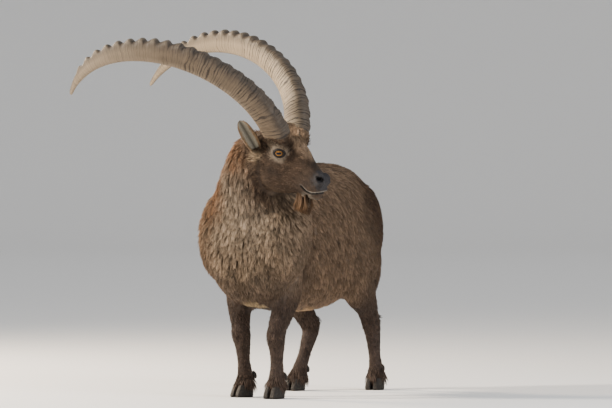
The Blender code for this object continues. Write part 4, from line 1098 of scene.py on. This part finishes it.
class Tufts:
    """Tufts of fur, kept as arrays with a row for each tuft until they are made into meshes."""

    def __init__(self, root, normal, way, length, width, lift, colour, uv):
        self.root = root
        self.normal = normal
        self.way = way
        self.length = length[:, None]
        self.width = width[:, None]
        self.lift = lift[:, None]
        self.colour = colour
        self.uv = uv
        self.fall = np.zeros_like(root)
        self.pull = np.zeros_like(root)
        self.phase = np.zeros((len(root), 1))

    def bend_aside(self, draw, amount):
        """Bend every tuft a little to one side by chance."""
        side = unit(np.cross(self.way, self.normal))
        self.fall = self.fall + side * draw.normal(0.0, amount, (len(self.root), 1))

    def gather(self, draw, size, share, vary):
        """Draw the tips of neighbouring tufts together into locks of about the given size."""
        count = len(self.root)
        tips = self.root + self.length * (self.way + self.normal * self.lift * 0.75 + self.fall)
        cell = ((self.root - self.root.min(axis=0)) / size).astype(int)
        keys = cell[:, 0] * 73856093 ^ cell[:, 1] * 19349663 ^ cell[:, 2] * 83492791
        _, first = np.unique(keys, return_index=True)
        tree = KDTree(len(first))
        for k, own in enumerate(first):
            tree.insert(self.root[own], k)
        tree.balance()
        jitter = self.root + draw.normal(0.0, size * 0.25, (count, 3))
        lead = first[np.array([tree.find(spot)[1] for spot in jitter])]
        near = np.linalg.norm(self.root[lead] - self.root, axis=1) < 2.5 * size
        self.pull = (tips[lead] - tips) * (share * near)[:, None]
        self.colour = self.colour * draw.normal(1.0, vary, count).clip(0.45, 1.7)[lead][:, None]
        self.phase = draw.uniform(0.0, 2 * math.pi, count)[lead][:, None]
        self.lift = self.lift * draw.uniform(0.7, 1.5, count)[lead][:, None]

    def part(self, own):
        """Return some of the tufts."""
        some = copy.copy(self)
        for key, rows in vars(self).items():
            setattr(some, key, rows[own])
        return some

    def pieces(self, name, rings, tones, look, slot):
        """Make the tufts into as many pieces as keep each one's faces within the limit."""
        count = len(self.root)
        parts = max(1, math.ceil(count * (6 * rings - 2) / COAT_PIECE))
        order = np.argsort(self.root[:, 1])
        for k in range(parts):
            own = order[k * count // parts:(k + 1) * count // parts]
            label = name if parts == 1 else f"{name}_{k + 1}"
            present(self.part(own).make(label, rings, tones), slot, look)

    def blades(self, rings):
        """Return each tuft's points, their way along it as a share, and their places on its patch."""
        count, total = len(self.root), 3 * rings + 1
        side = unit(np.cross(self.way, self.normal))
        spots = np.empty((count, total, 3))
        along = np.append(np.repeat(np.arange(rings) / rings, 3), 1.0)
        uv = np.empty((count, total, 2))
        for ring in range(rings + 1):
            t = ring / rings
            rise = self.lift * self.length * t * (1.25 - 0.5 * t) - TUFT_SINK * (1 - t)
            centre = self.root + self.way * (self.length * t) + self.normal * rise
            centre = centre + self.fall * (self.length * t * t) + self.pull * t ** 1.4
            sway = np.sin(self.phase + 5.5 * t) - np.sin(self.phase)
            centre = centre + side * (TUFT_WAVE * (rings - 2) * self.length * t * sway)
            if ring == rings:
                spots[:, -1] = centre
                uv[:, -1] = self.uv + (TUFT_PATCH / 2, 0.0)
                continue
            half = self.width / 2 * (0.80 + 0.50 * t - 0.80 * t * t)
            for k, (across, up) in enumerate(((-1.0, 0.0), (0.0, 0.5), (1.0, 0.0))):
                spots[:, 3 * ring + k] = centre + side * half * across + self.normal * half * up
                uv[:, 3 * ring + k] = self.uv + (TUFT_PATCH * t - TUFT_PATCH / 2, 0.0012 * (k - 1))
        spots[:, :, 2] = np.maximum(spots[:, :, 2], FLOOR_GAP)
        return spots, along, uv

    def make(self, name, rings, tones):
        """Return one mesh of flat three-sided blades, thickest near the root and pointed at the tip."""
        spots, along, uv = self.blades(rings)
        count, total, _ = spots.shape
        faces = []
        for low in range(0, 3 * rings - 3, 3):
            for k in range(3):
                j = (k + 1) % 3
                faces += [(low + k, low + j, low + 3 + j), (low + k, low + 3 + j, low + 3 + k)]
        last = 3 * rings - 3
        faces += [(last + k, last + (k + 1) % 3, 3 * rings) for k in range(3)] + [(0, 2, 1)]
        pattern = np.array(faces, dtype=np.int32)
        corners = (pattern[None] + (np.arange(count) * total)[:, None, None]).reshape(-1, 3)
        mesh = bpy.data.meshes.new(name)
        mesh.vertices.add(count * total)
        mesh.vertices.foreach_set("co", spots.astype(np.float32).ravel())
        mesh.loops.add(corners.size)
        mesh.loops.foreach_set("vertex_index", corners.ravel())
        mesh.polygons.add(len(corners))
        mesh.polygons.foreach_set("loop_start", np.arange(0, corners.size, 3, dtype=np.int32))
        mesh.polygons.foreach_set("loop_total", np.full(len(corners), 3, dtype=np.int32))
        mesh.update(calc_edges=True)
        thing = add_object(name, mesh)
        root_tone, tip_tone = (np.array(tone) for tone in tones)
        tone = self.colour[:, None, :] * (root_tone + (tip_tone - root_tone) * along[:, None])[None]
        note_paint(thing, tone.reshape(-1, 3))
        chart = mesh.uv_layers.new(name="OFBake")
        chart.data.foreach_set("uv", uv.reshape(-1, 2)[corners.ravel()].astype(np.float32).ravel())
        return thing


def scatter(draw, spots, triangles, density):
    """Draw places on a surface by the tufts a square metre, and return how to read a value there."""
    corner = spots[triangles]
    areas = np.linalg.norm(np.cross(corner[:, 1] - corner[:, 0], corner[:, 2] - corner[:, 0]), axis=1) / 2
    total = np.cumsum(areas * density)
    chosen = np.searchsorted(total, np.arange(draw.uniform(), total[-1], 1.0))
    weights = draw.dirichlet((1.0, 1.0, 1.0), len(chosen))[:, :, None]
    three = triangles[chosen]
    return lambda values: (values[three] * weights).sum(axis=1)


def in_plane(ways, normals):
    """Return directions laid flat on the surface and made one long."""
    return unit(ways - normals * np.sum(ways * normals, axis=1, keepdims=True))


class IBEX_OT_coat(bpy.types.Operator):
    """Cover the skin with tufts that follow the lie of the coat"""

    bl_idname = "ibex.coat"
    bl_label = "Coat"

    def execute(self, context):
        settings = context.scene.ibex_coat
        skin = the_skin()
        draw = np.random.default_rng(settings.seed)
        spots, normals, triangles = arrays(skin)
        pairs = edge_pairs(skin)
        region = np.empty(len(spots), dtype=np.int32)
        skin.data.attributes["Region"].data.foreach_get("value", region)
        fields = np.array([row[1:5] for row in COAT_ROWS], dtype=float)[region]
        ways = np.array([row[5] for row in COAT_ROWS], dtype=float)[region]
        turn = np.array(head_frame().to_3x3())
        ways[region == FLESH.index("head")] = turn @ np.array(HEAD_WAY)
        collar = horn_collar(spots)
        ways = ways * (1 - collar[:, None]) + (turn @ np.array(COLLAR_WAY)) * collar[:, None]
        fields = spread(fields, pairs, 20)
        self.trim(fields, spots, collar)
        ways = in_plane(spread(ways, pairs, 40), normals)
        normals = unit(spread(normals, pairs, 3))
        chart = SkinChart(skin)
        look = fur_material()
        density = fields[triangles][:, :, 3].mean(axis=1)
        face_region = region[triangles[:, 0]]
        for name, (starts, rings, size, share, vary, tones) in COAT_GROUPS.items():
            members = [k for k, part in enumerate(FLESH) if part.startswith(starts)]
            wanted = np.where(np.isin(face_region, members), density * settings.fullness, 0.0)
            at = scatter(draw, spots, triangles, wanted)
            root = at(spots)
            normal = unit(at(normals))
            way = in_plane(at(ways) + draw.normal(0.0, WAY_VARY, root.shape), normal)
            length, width, lift, _ = at(fields).T
            vary_tone, darkest, lightest = TONE_VARY
            tone = draw.normal(1.0, vary_tone, len(root)).clip(darkest, lightest)
            length = length * draw.uniform(*LENGTH_VARY, len(root))
            colour = marks_and_shade(root) * tone[:, None]
            tufts = Tufts(root, normal, way, length, width, lift, colour, chart.at(root))
            tufts.bend_aside(draw, ASIDE_VARY)
            tufts.gather(draw, size, share, vary)
            tufts.pieces(f"coat_{name}", rings, tones, look, "leg_coat" if "legs" in name else "coat")
        self.beard(surface_tree(skin), chart, look, draw)
        return {"FINISHED"}

    def trim(self, fields, spots, collar):
        """Shorten the coat round eyes, nose and mouth, and let it grow long by horns and hooves."""
        own = in_head(spots)
        mirrored = mirror(own)
        eye = away(mirrored, EYE_AT)
        nose = away(mirrored, NOSE_TIP)
        short = np.clip(np.minimum((eye - 0.022) / 0.030, (nose - 0.020) / 0.080), 0.35, 1.0)
        near = np.where(eye + nose < 0.5)[0]
        far, _ = mouth_fold(own[near])
        short[near] = np.minimum(short[near], np.clip(far / 0.022, 0.22, 1.0))
        bare = (eye < 0.0305) | (away(mirrored, NOSTRIL_AT) < 0.015)
        cheek = clamp((0.010 - own[:, 0]) / 0.060) * clamp((0.010 - own[:, 2]) / 0.04)
        cheek *= (fields[:, 0] < 0.030) & (away(own, 0.0) < 0.20)
        fringe = clamp((FRINGE_TOP - spots[:, 2]) / 0.030)
        fields += cheek[:, None] * CHEEK_MORE
        fields[:, 0] *= short
        fields[:, 1] *= 0.5 + 0.5 * short
        fields[:, 3] *= np.where(bare, 0.0, 1.0)
        fields += fringe[:, None] * FRINGE_MORE + collar[:, None] * COLLAR_MORE

    def beard(self, ground, chart, look, draw):
        """Hang the beard from the chin in two soft lobes."""
        matrix = head_frame()
        count = BEARD_TUFTS
        along = draw.uniform(0.0, 1.0, count)
        across = draw.normal(0.0, 0.5, count).clip(-1.0, 1.0)
        (ahead, up), (more_ahead, more_up) = BEARD_ROOT
        guess = [(ahead + more_ahead * a, BEARD_HALF * b, up + more_up * a) for a, b in zip(along, across)]
        root = np.array([ground.find_nearest(matrix @ Vector(spot))[0] for spot in guess])
        turn = np.array(matrix.to_3x3())
        out = np.stack([np.zeros(count), across, np.zeros(count)], axis=1) @ turn.T
        normal = out * 1.5 + turn @ np.array((1.0, 0.0, 0.0)) * (along[:, None] - 0.3)
        normal = unit(normal + (0.0, -0.2, 0.0))
        way = np.tile((0.0, 0.0, -1.0), (count, 1)) + 0.10 * normal + draw.normal(0.0, 0.07, (count, 3))
        way = unit(way)
        length = BEARD_LENGTH * (1.0 - 0.25 * np.abs(across)) * draw.uniform(0.75, 1.05, count)
        lobe = np.where(np.abs(across) < 0.30, 0.55, 1.0)
        tone = np.array(BEARD_TONE) * lobe[:, None] * draw.normal(1.0, 0.15, (count, 1))
        width, lift = np.full(count, 0.0040), np.full(count, 0.10)
        tufts = Tufts(root, normal, way, length, width, lift, tone, chart.at(root))
        tufts.fall = out * 0.10 + np.array((-0.06, 0.10, 0.0))
        tufts.gather(draw, 0.010, 0.5, 0.2)
        tufts.pieces("coat_beard", 4, ((0.6, 0.6, 0.6), (1.5, 1.36, 1.15)), look, "coat")


class SkinChart:
    """An unwrap of the skin's own shape, read at any place near it."""

    def __init__(self, skin):
        shell = copied([skin])
        modify(shell, "DECIMATE", ratio=min(1.0, CHART_FACES / len(shell.data.polygons)))
        on_faces(shell, bpy.ops.uv.smart_project, angle_limit=CHART_ANGLE, island_margin=CHART_GAP)
        spots, _, triangles = arrays(shell)
        flat = np.empty(len(shell.data.loops) * 2)
        shell.data.uv_layers.active.data.foreach_get("uv", flat)
        loops = np.empty(len(triangles) * 3, dtype=np.int32)
        shell.data.loop_triangles.foreach_get("loops", loops)
        self.uv = flat.reshape(-1, 2)[loops.reshape(-1, 3)]
        self.corner = spots[triangles]
        self.tree = BVHTree.FromPolygons(spots.tolist(), triangles.tolist())
        bpy.data.objects.remove(shell, do_unlink=True)

    def at(self, places):
        """Return the chart's coordinates under each place."""
        found = [self.tree.find_nearest(spot) for spot in places]
        face = np.array([row[2] for row in found])
        spot = np.array([row[0] for row in found])
        a, b, c = (self.corner[face, k] for k in range(3))
        first, second, third = b - a, c - a, spot - a
        d00, d01, d11 = ((p * q).sum(axis=1) for p, q in ((first, first), (first, second), (second, second)))
        d20, d21 = ((third * q).sum(axis=1) for q in (first, second))
        scale = (d00 * d11 - d01 * d01).clip(1e-18)
        v = clamp((d11 * d20 - d01 * d21) / scale)
        w = clamp((d00 * d21 - d01 * d20) / scale)
        share = np.stack([clamp(1.0 - v - w), v, w], axis=1)
        share /= share.sum(axis=1, keepdims=True)
        return (self.uv[face] * share[:, :, None]).sum(axis=1)


def horn_angles(s):
    """Return the bend back and the spread to the side at s along a horn, in radians."""
    return tuple(math.radians(sum(k * s**n for n, k in enumerate(row))) for row in (HORN_BEND, HORN_SPREAD))


def horn_axes(side, bend, spread_out):
    """Return the unit vectors along a horn, to its front and to its inner side."""
    ahead = Vector((
        -math.sin(bend) * math.cos(spread_out),
        side * math.sin(spread_out),
        math.cos(bend) * math.cos(spread_out),
    ))
    front = Vector((math.cos(bend), 0.0, math.sin(bend)))
    return ahead, front, ahead.cross(front) * -side


def horn_collar(spots):
    """Return how much each point belongs to the ring of longer hair round a horn's root."""
    own = in_head(spots)
    across = (np.abs(own[:, 1]) - HORN_HALF_GAP) / (HORN_WIDTH / 2 + 0.010)
    along = (own[:, 0] + 0.006) / (HORN_DEPTH / 2 + 0.012)
    return clamp((1.35 - np.hypot(across, along)) / 0.3) * clamp((own[:, 2] + 0.035) / 0.02)


def horn_knob(s):
    """Return how far the front of a horn stands out at s: knobs, low at the root and high beyond it."""
    reach = KNOBS * (s - KNOB_START) / KNOB_REACH
    if reach < 0 or reach > KNOBS:
        return 0.0
    grown = smooth(min(1.0, max(0.0, (s - 0.30) / 0.35)))
    height = (KNOB_LOW + KNOB_GROWTH * grown) * min(1.0, (1.0 - s) / 0.18)
    part = reach % 1.0
    return height * smooth(part / KNOB_RISE if part < KNOB_RISE else (1.0 - part) / (1.0 - KNOB_RISE))


class IBEX_OT_horns(bpy.types.Operator):
    """Model the two long horns with their knobs and growth ridges"""

    bl_idname = "ibex.horns"
    bl_label = "Horns"

    def execute(self, context):
        look = horn_material()
        for side, where in SIDES:
            present(self.horn(f"horns_{where}", side), "horn", look, f"horn_{where}")
        return {"FINISHED"}

    def horn(self, name, side):
        """Return one horn, with how far along, to the front and to the inner side each point lies."""
        matrix = head_frame()
        waver = np.random.default_rng(5 + side).uniform(0.7, 1.3, 400)
        rings = []
        grain = []
        medial = []
        spot = Vector(on_side((0.0, HORN_HALF_GAP, 0.0), side))
        before = 0.0
        for step in range(HORN_STEPS + 1):
            s = HORN_START + (1.0 - HORN_START) * step / HORN_STEPS
            part = max(1, round((s - before) * 600))
            for k in range(part):
                ahead, _, _ = horn_axes(side, *horn_angles(before + (s - before) * (k + 0.5) / part))
                spot = spot + ahead * (HORN_LENGTH * (s - before) / part)
            before = s
            _, front, out = horn_axes(side, *horn_angles(s))
            taper = number_at(HORN_TAPER, s)
            taper *= math.sqrt(max(0.02, 1.0 - max(0.0, (s - 0.985) / 0.015) ** 2))
            grown = uneven(s * HORN_LENGTH, side)
            ridge = horn_ridges(grown, waver) * taper
            knob = horn_knob(s)
            ring = []
            for k in range(HORN_SIDES):
                angle = 2 * math.pi * (k + 0.5) / HORN_SIDES
                c = math.cos(angle)
                n = math.sin(angle)
                face = smooth(min(1.0, max(0.0, (c - 0.20) / 0.50)))
                ridged = ridge * (0.4 + 0.6 * face)
                deep, wide = (whole / 2 * taper + ridged for whole in (HORN_DEPTH, HORN_WIDTH))
                ahead_by = deep * math.copysign(abs(c) ** HORN_SQUARE[0], c) + knob * face
                aside = wide * math.copysign(abs(n) ** HORN_SQUARE[1], n)
                aside *= HORN_WEDGE[0] + HORN_WEDGE[1] * c
                ring.append(matrix @ (spot + front * ahead_by + out * (aside * (1 + 3.0 * knob * face))))
                medial.append(0.5 + 0.5 * n)
                grain.append((grown, 0.5 + 0.5 * c, knob / (KNOB_LOW + KNOB_GROWTH) * face))
            rings.append(ring)
        horn = tube_object(name, rings)
        note(horn, "Grain", "FLOAT_VECTOR", grain)
        note(horn, "Medial", "FLOAT", medial)
        return horn


def uneven(along, side):
    """Return a distance along a horn, shifted so that what repeats by it comes at uneven steps."""
    for shift, length, start in RIDGE_SHIFTS:
        along += shift * math.sin(2 * math.pi * along / length + start + 1.7 * side)
    return along


def horn_ridges(along, waver):
    """Return the height of the ridges across a horn: coarse ones near the root, fine rings all along."""
    place_at = along / RIDGE_STEP
    own = waver[int(place_at) % len(waver)]
    coarse = abs(math.sin(math.pi * place_at)) ** 0.6 * own * RIDGE_HEIGHT
    coarse *= max(0.12, 1.0 - 1.5 * along / HORN_LENGTH)
    return coarse + RING_HEIGHT * math.sin(2 * math.pi * along / RING_STEP + 3.0 * own)


def horn_material():
    """Return the horn's material: tan at the sides, dark on the ridged front, with thin growth rings, and a
    painted highlight that makes the inner face pale cream.
    """
    look, tree, shader = new_material("ibex horn", (0.20, 0.14, 0.09), 0.58, 0.20)
    along, forward, knob = apart(tree, attribute(tree, "Grain", "Vector"))
    medial = attribute(tree, "Medial", "Fac")
    there = object_place(tree)
    cloud = noise(tree, there, Scale=28.0, Detail=6.0, Roughness=0.65)
    waver = noise(tree, there, Scale=30.0, Detail=3.0)
    breaks = noise(tree, there, Scale=16.0, Detail=3.0)
    lines = []
    for step, sway in ((RIDGE_STEP, 0.016), (RING_STEP, 0.010)):
        shift = math_node(tree, "MULTIPLY_ADD", waver, sway, along)
        lines.append(math_node(tree, "COSINE", math_node(tree, "MULTIPLY", shift, 2 * math.pi / step)))
    patch = ramp(tree, breaks, 0.40, 0.56, 0.25, 1.0)
    near = ramp(tree, along, 0.35 * HORN_LENGTH, 0.75 * HORN_LENGTH, 1.0, 0.30)
    dark = ramp(tree, lines[0], 0.45, 0.92, 0.0, 0.97)
    dark = math_node(tree, "MULTIPLY", dark, math_node(tree, "MULTIPLY", patch, near))
    side = mix_node(tree, cloud, (0.140, 0.102, 0.067), (0.040, 0.029, 0.020))
    for share, tone in (
        (ramp(tree, forward, 0.30, 0.02, 0.0, 0.55), (0.200, 0.150, 0.100)),
        (ramp(tree, along, 0.55 * HORN_LENGTH, 0.85 * HORN_LENGTH, 0.0, 0.75), (0.230, 0.180, 0.125)),
        (ramp(tree, along, 0.04 * HORN_LENGTH, 0.22 * HORN_LENGTH, 0.45, 0.0), (0.078, 0.051, 0.028)),
        # Painted highlight: the inner face of each horn is drawn towards pale cream, as where light falls on
        # it
        (ramp(tree, medial, 0.45, 0.85, 0.0, 0.85), (0.290, 0.222, 0.145)),
    ):
        side = mix_node(tree, share, side, tone)
    face = mix_node(tree, cloud, (0.070, 0.054, 0.041), (0.028, 0.022, 0.018))
    face = mix_node(tree, ramp(tree, knob, 0.45, 1.0, 0.0, 0.7), face, (0.170, 0.138, 0.102))
    horn = mix_node(tree, ramp(tree, forward, 0.52, 0.86, 0.0, 0.85), side, face)
    horn = mix_node(tree, dark, horn, (0.014, 0.010, 0.008))
    horn = mix_node(tree, ramp(tree, lines[1], 0.2, 1.0, 0.0, 0.35), horn, (0.040, 0.029, 0.020))
    tree.links.new(horn, shader.inputs["Base Color"])
    emboss(tree, shader, math_node(tree, "MULTIPLY_ADD", lines[1], -0.35, cloud), 0.5, 0.0012)
    return look


class IBEX_OT_eyes(bpy.types.Operator):
    """Set the two amber eyes, each with its level pupil"""

    bl_idname = "ibex.eyes"
    bl_label = "Eyes"

    def execute(self, context):
        ground = surface_tree(the_skin())
        look = eye_material()
        leather = lid_material()
        for side, where in SIDES:
            axes = eye_axes(side)
            present(self.ball(f"eyeball_{where}", axes), "eye", look, f"eye_{where}")
            present(self.lids(f"eyelids_{where}", axes, ground), "coat", leather)
        return {"FINISHED"}

    def ball(self, name, axes):
        """Return one eyeball with a slightly raised clear front."""
        centre, level, up, gaze = axes
        deselect()
        bpy.ops.mesh.primitive_uv_sphere_add(segments=64, ring_count=48, radius=1.0)
        eye = bpy.context.object
        eye.name = name
        spots, _, _ = arrays(eye)
        note(eye, "Gaze", "FLOAT_VECTOR", spots)
        bulge = 0.05 * clamp((spots[:, 2] - 0.60) / 0.40) ** 1.5
        spots = spots * (EYE_RADIUS * (1.0 + bulge))[:, None]
        move_points(eye, spots @ np.array((level, up, gaze)) + np.array(centre))
        return eye

    def lids(self, name, axes, ground):
        """Return the dark rim of both eyelids, from the opening out to the skin."""
        centre, level, up, gaze = axes
        spots = []
        tones = []
        for row in range(LID_ROWS):
            angle = 2 * math.pi * row / LID_ROWS
            c = math.cos(angle)
            n = math.copysign(abs(math.sin(angle)) ** LID_POINTED, math.sin(angle))
            aside, above = LID_OPENING[0] * c, LID_OPENING[1] * n
            inner = math.sqrt(EYE_RADIUS**2 - aside**2 - above**2)
            far = centre + level * (LID_RIM[0] * c) + up * (LID_RIM[1] * n)
            hit = ground.ray_cast(far + gaze * 0.05, -gaze)[0]
            outer = max((hit - centre).dot(gaze) if hit else 0.0, LID_SUNK)
            for share, rise in LID_PROFILE:
                a = aside + (LID_RIM[0] * c - aside) * share
                b = above + (LID_RIM[1] * n - above) * share
                out = inner + (outer - inner) * share + rise
                spots.append(centre + level * a + up * b + gaze * out)
                tones.append([low + more * share**3 for low, more in LID_TONES])
        faces = bands([(row, (row + 1) % LID_ROWS) for row in range(LID_ROWS)], len(LID_PROFILE))
        lid = closed_object(name, spots, faces)
        note_paint(lid, np.array(tones))
        return lid


def eye_axes(side):
    """Return the middle of one eye, and the level, upward and outward directions that it looks by."""
    matrix = head_frame()
    gaze = (matrix.to_3x3() @ Vector(on_side(EYE_AIM, side))).normalized()
    level = Vector((0.0, 0.0, 1.0)).cross(gaze).normalized()
    return matrix @ Vector(on_side(EYE_AT, side)), level, gaze.cross(level), gaze


def eye_material():
    """Return the eye's material: an amber iris with fine rays, a level dark pupil and a wet shine."""
    look, tree, shader = new_material("ibex eye", (0.30, 0.15, 0.03), 0.12, 0.10)
    aside, above, _ = apart(tree, attribute(tree, "Gaze", "Vector"))
    wide, high = (
        math_node(tree, "POWER", math_node(tree, "ABSOLUTE", math_node(tree, "DIVIDE", *pair)), 4.0)
        for pair in ((aside, PUPIL[0]), (above, PUPIL[1])))
    pupil = ramp(tree, math_node(tree, "ADD", wide, high), 0.75, 1.35, 1.0, 0.0)
    squares = (math_node(tree, "POWER", part, 2.0) for part in (aside, above))
    radius = math_node(tree, "SQRT", math_node(tree, "ADD", *squares))
    turn = math_node(tree, "ARCTAN2", above, aside)
    around = tree.nodes.new("ShaderNodeCombineXYZ")
    feed(tree, around.inputs[0], math_node(tree, "MULTIPLY", turn, 9.0))
    feed(tree, around.inputs[1], math_node(tree, "MULTIPLY", radius, 3.0))
    rays = ramp(tree, noise(tree, around.outputs[0], Scale=1.0, Detail=3.0), 0.35, 0.65, 0.0, 1.0)
    iris = mix_node(tree, rays, (0.30, 0.145, 0.032), (0.12, 0.048, 0.010))
    iris = mix_node(tree, ramp(tree, radius, 0.50, 0.68, 0.0, 1.0), iris, (0.035, 0.018, 0.008))
    iris = mix_node(tree, ramp(tree, radius, 0.72, 0.80, 0.0, 1.0), iris, (0.030, 0.020, 0.015))
    tree.links.new(mix_node(tree, pupil, iris, (0.004, 0.005, 0.010)), shader.inputs["Base Color"])
    shader.inputs["Coat Weight"].default_value = 0.08
    shader.inputs["Coat Roughness"].default_value = 0.03
    return look


def lid_material():
    """Return the eyelids' material: dark creased leather."""
    look, tree, shader = new_material("ibex eyelid", (0.012, 0.010, 0.009), 0.60, 0.15)
    crease = noise(tree, object_place(tree), Scale=420.0, Detail=3.0)
    share = ramp(tree, crease, 0.4, 0.7, 0.0, 0.4)
    tone = mix_node(tree, share, attribute(tree, "Marks", "Color"), (0.016, 0.012, 0.010))
    tree.links.new(tone, shader.inputs["Base Color"])
    emboss(tree, shader, crease, 0.4, 0.0006)
    return look


class IBEX_OT_ears(bpy.types.Operator):
    """Model the cupped ears and their fur"""

    bl_idname = "ibex.ears"
    bl_label = "Ears"

    def execute(self, context):
        draw = np.random.default_rng(context.scene.ibex_coat.seed + 1)
        look = skin_material()
        fur = fur_material()
        for side, where in SIDES:
            ear = self.ear(f"ear_shell_{where}", side)
            column = np.arange(len(ear.data.vertices)) % (2 * EAR_COLUMNS + 2)
            inner = column <= EAR_COLUMNS
            across = np.abs(2 * np.where(inner, column, 2 * EAR_COLUMNS + 1 - column) / EAR_COLUMNS - 1)
            pale = np.array(EAR_INSIDE) * np.clip(0.28 + 1.6 * across[:, None], 0.0, 1.15)
            pale = np.where(across[:, None] > 0.80, np.array(EAR_RIM), pale)
            colour = np.where(inner[:, None], pale, np.array(EAR_OUTSIDE))
            note_paint(ear, colour * 0.8)
            present(ear, "ear_coat", look, f"ear_{where}")
            self.fur(ear, where, side, np.c_[inner, across, colour], fur, draw)
        return {"FINISHED"}

    def fur(self, ear, where, side, kept, look, draw):
        """Cover one ear: short brown fur outside, long pale hairs from the edges inside."""
        spots, normals, triangles = arrays(ear)
        chart = SkinChart(ear)
        aim = np.array(head_frame().to_3x3()) @ unit(np.array(on_side(EAR_AIM, side)))
        middle = spots.mean(axis=0)
        at = scatter(draw, spots, triangles, EAR_TUFTS)
        root = at(spots)
        normal = unit(at(normals))
        within, edge, *tone = at(kept).T
        toward = unit(middle - root) * (within * 0.8)[:, None]
        way = in_plane(aim + toward + draw.normal(0.0, 0.18, root.shape), normal)
        length, width, lift = (np.where(within > 0.5, *pair) for pair in zip(EAR_FUR_IN, EAR_FUR_OUT))
        length = length + np.where(within > 0.5, EAR_FUR_EDGE * edge**2, 0.0)
        length *= draw.uniform(0.7, 1.2, len(root))
        length *= 1.0 - 0.6 * clamp(((root - middle) @ aim / EAR_LENGTH - 0.25) / 0.25)
        colour = np.array(tone).T * draw.normal(1.0, 0.2, (len(root), 1)).clip(0.4, 1.7)
        tufts = Tufts(root, normal, way, length, width, lift, colour, chart.at(root))
        tufts.bend_aside(draw, ASIDE_VARY)
        tufts.gather(draw, 0.006, 0.35, 0.22)
        tufts.pieces(f"coat_ear_{where}", 2, ((0.7, 0.7, 0.7), (1.35, 1.33, 1.28)), look, "ear_coat")

    def ear(self, name, side):
        """Return one ear, a cupped leaf."""
        matrix = head_frame()
        root = Vector(on_side(EAR_ROOT, side))
        aim = Vector(on_side(EAR_AIM, side)).normalized()
        face = Vector(on_side(EAR_FACE, side))
        face = (face - aim * face.dot(aim)).normalized()
        across = aim.cross(face)
        rings = []
        for row in range(31):
            t = row / 30
            half = EAR_WIDTH / 2 * (0.52 + 0.48 * math.sin(math.pi * min(1.0, t * 0.90 + 0.02)) ** 0.8)
            if t > 0.70:
                half *= math.sqrt(max(0.004, 1 - ((t - 0.70) / 0.302) ** 4.2))
            cup = 0.75 * half * (1.0 - 0.35 * t)
            thick = EAR_THICKNESS * (1.9 - 1.3 * t)
            centre = root + aim * (EAR_LENGTH * t) - face * (0.016 * t * t)
            ring = []
            for v in [2 * k / EAR_COLUMNS - 1 for k in range(EAR_COLUMNS + 1)]:
                ring.append(matrix @ (centre + across * (v * half) + face * (cup * v * v)))
            for v in [2 * k / EAR_COLUMNS - 1 for k in range(EAR_COLUMNS, -1, -1)]:
                bow = face * (cup * v * v - thick * (1.35 - 0.9 * v * v))
                ring.append(matrix @ (centre + across * (v * (half + thick * 0.4)) + bow))
            rings.append(ring)
        return tube_object(name, rings)


class IBEX_OT_hooves(bpy.types.Operator):
    """Model the cloven hooves and the dewclaws"""

    bl_idname = "ibex.hooves"
    bl_label = "Hooves"

    def execute(self, context):
        look = hoof_material()
        for foot in FEET:
            for side in ("left", "right"):
                self.shape(f"claw_{foot}_{side}", f"hoof_{foot}_{side}_claw", HOOF_GRAIN, look)
                grain = HOOF_GRAIN * DEWCLAW_GRAIN
                self.shape(f"dew_{foot}_{side}", f"dewclaw_{foot}_{side}", grain, look)
        return {"FINISHED"}

    def shape(self, name, part, grain, look):
        """Round one claw of the solid off, and keep its sole flat on the floor."""
        claw = from_frame([part])
        claw.name = name
        low = min(vertex.co.z for vertex in claw.data.vertices)
        modify(claw, "REMESH", mode="VOXEL", voxel_size=grain)
        modify(claw, "SMOOTH", factor=0.5, iterations=HOOF_ROUNDS)
        spots, _, _ = arrays(claw)
        if low < 0.002:
            spots[spots[:, 2] < low + SOLE_STEPS * grain, 2] = low
        move_points(claw, spots)
        present(claw, "hoof", look, part)


def hoof_material():
    """Return the hooves' material: near-black horn with growth rings and scuffs."""
    look, tree, shader = new_material("ibex hoof", (0.016, 0.013, 0.011), 0.62, 0.2)
    there = object_place(tree)
    scuff = noise(tree, there, Scale=160.0, Detail=5.0, Roughness=0.7)
    shift = math_node(tree, "MULTIPLY_ADD", scuff, 0.003, apart(tree, there)[2])
    rings = math_node(tree, "SINE", math_node(tree, "MULTIPLY", shift, 2 * math.pi / 0.0045))
    worn = ramp(tree, scuff, 0.45, 0.75, 0.0, 1.0)
    tone = mix_node(tree, worn, (0.010, 0.008, 0.007), (0.045, 0.036, 0.028))
    tree.links.new(tone, shader.inputs["Base Color"])
    emboss(tree, shader, math_node(tree, "ADD", rings, scuff), 0.5, 0.0006)
    return look


class IBEX_PT_panel(bpy.types.Panel):
    """The ibex's steps, in the order in which they are made"""

    bl_idname = "IBEX_PT_panel"
    bl_label = "Ibex"
    bl_space_type = "VIEW_3D"
    bl_region_type = "UI"
    bl_category = "Ibex"

    def draw(self, context):
        settings = context.scene.ibex_coat
        for key in ("body_grain", "head_grain", "fullness", "seed"):
            self.layout.prop(settings, key)
        for step in STEPS:
            self.layout.operator(step.bl_idname)


STEPS = (IBEX_OT_stage, IBEX_OT_skin, IBEX_OT_coat, IBEX_OT_horns, IBEX_OT_eyes, IBEX_OT_ears, IBEX_OT_hooves)
CLASSES = (IbexCoat, *STEPS, IBEX_PT_panel)


def register():
    """Register the classes and hang the settings on the scene."""
    for entry in CLASSES:
        bpy.utils.register_class(entry)
    bpy.types.Scene.ibex_coat = bpy.props.PointerProperty(type=IbexCoat)


def unregister():
    """Take the settings and the classes away again."""
    del bpy.types.Scene.ibex_coat
    for entry in reversed(CLASSES):
        bpy.utils.unregister_class(entry)


def main():
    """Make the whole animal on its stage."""
    register()
    bpy.ops.ibex.stage()
    bpy.ops.ibex.skin()
    bpy.ops.ibex.coat()
    bpy.ops.ibex.horns()
    bpy.ops.ibex.eyes()
    bpy.ops.ibex.ears()
    bpy.ops.ibex.hooves()


if __name__ == "__main__":
    main()
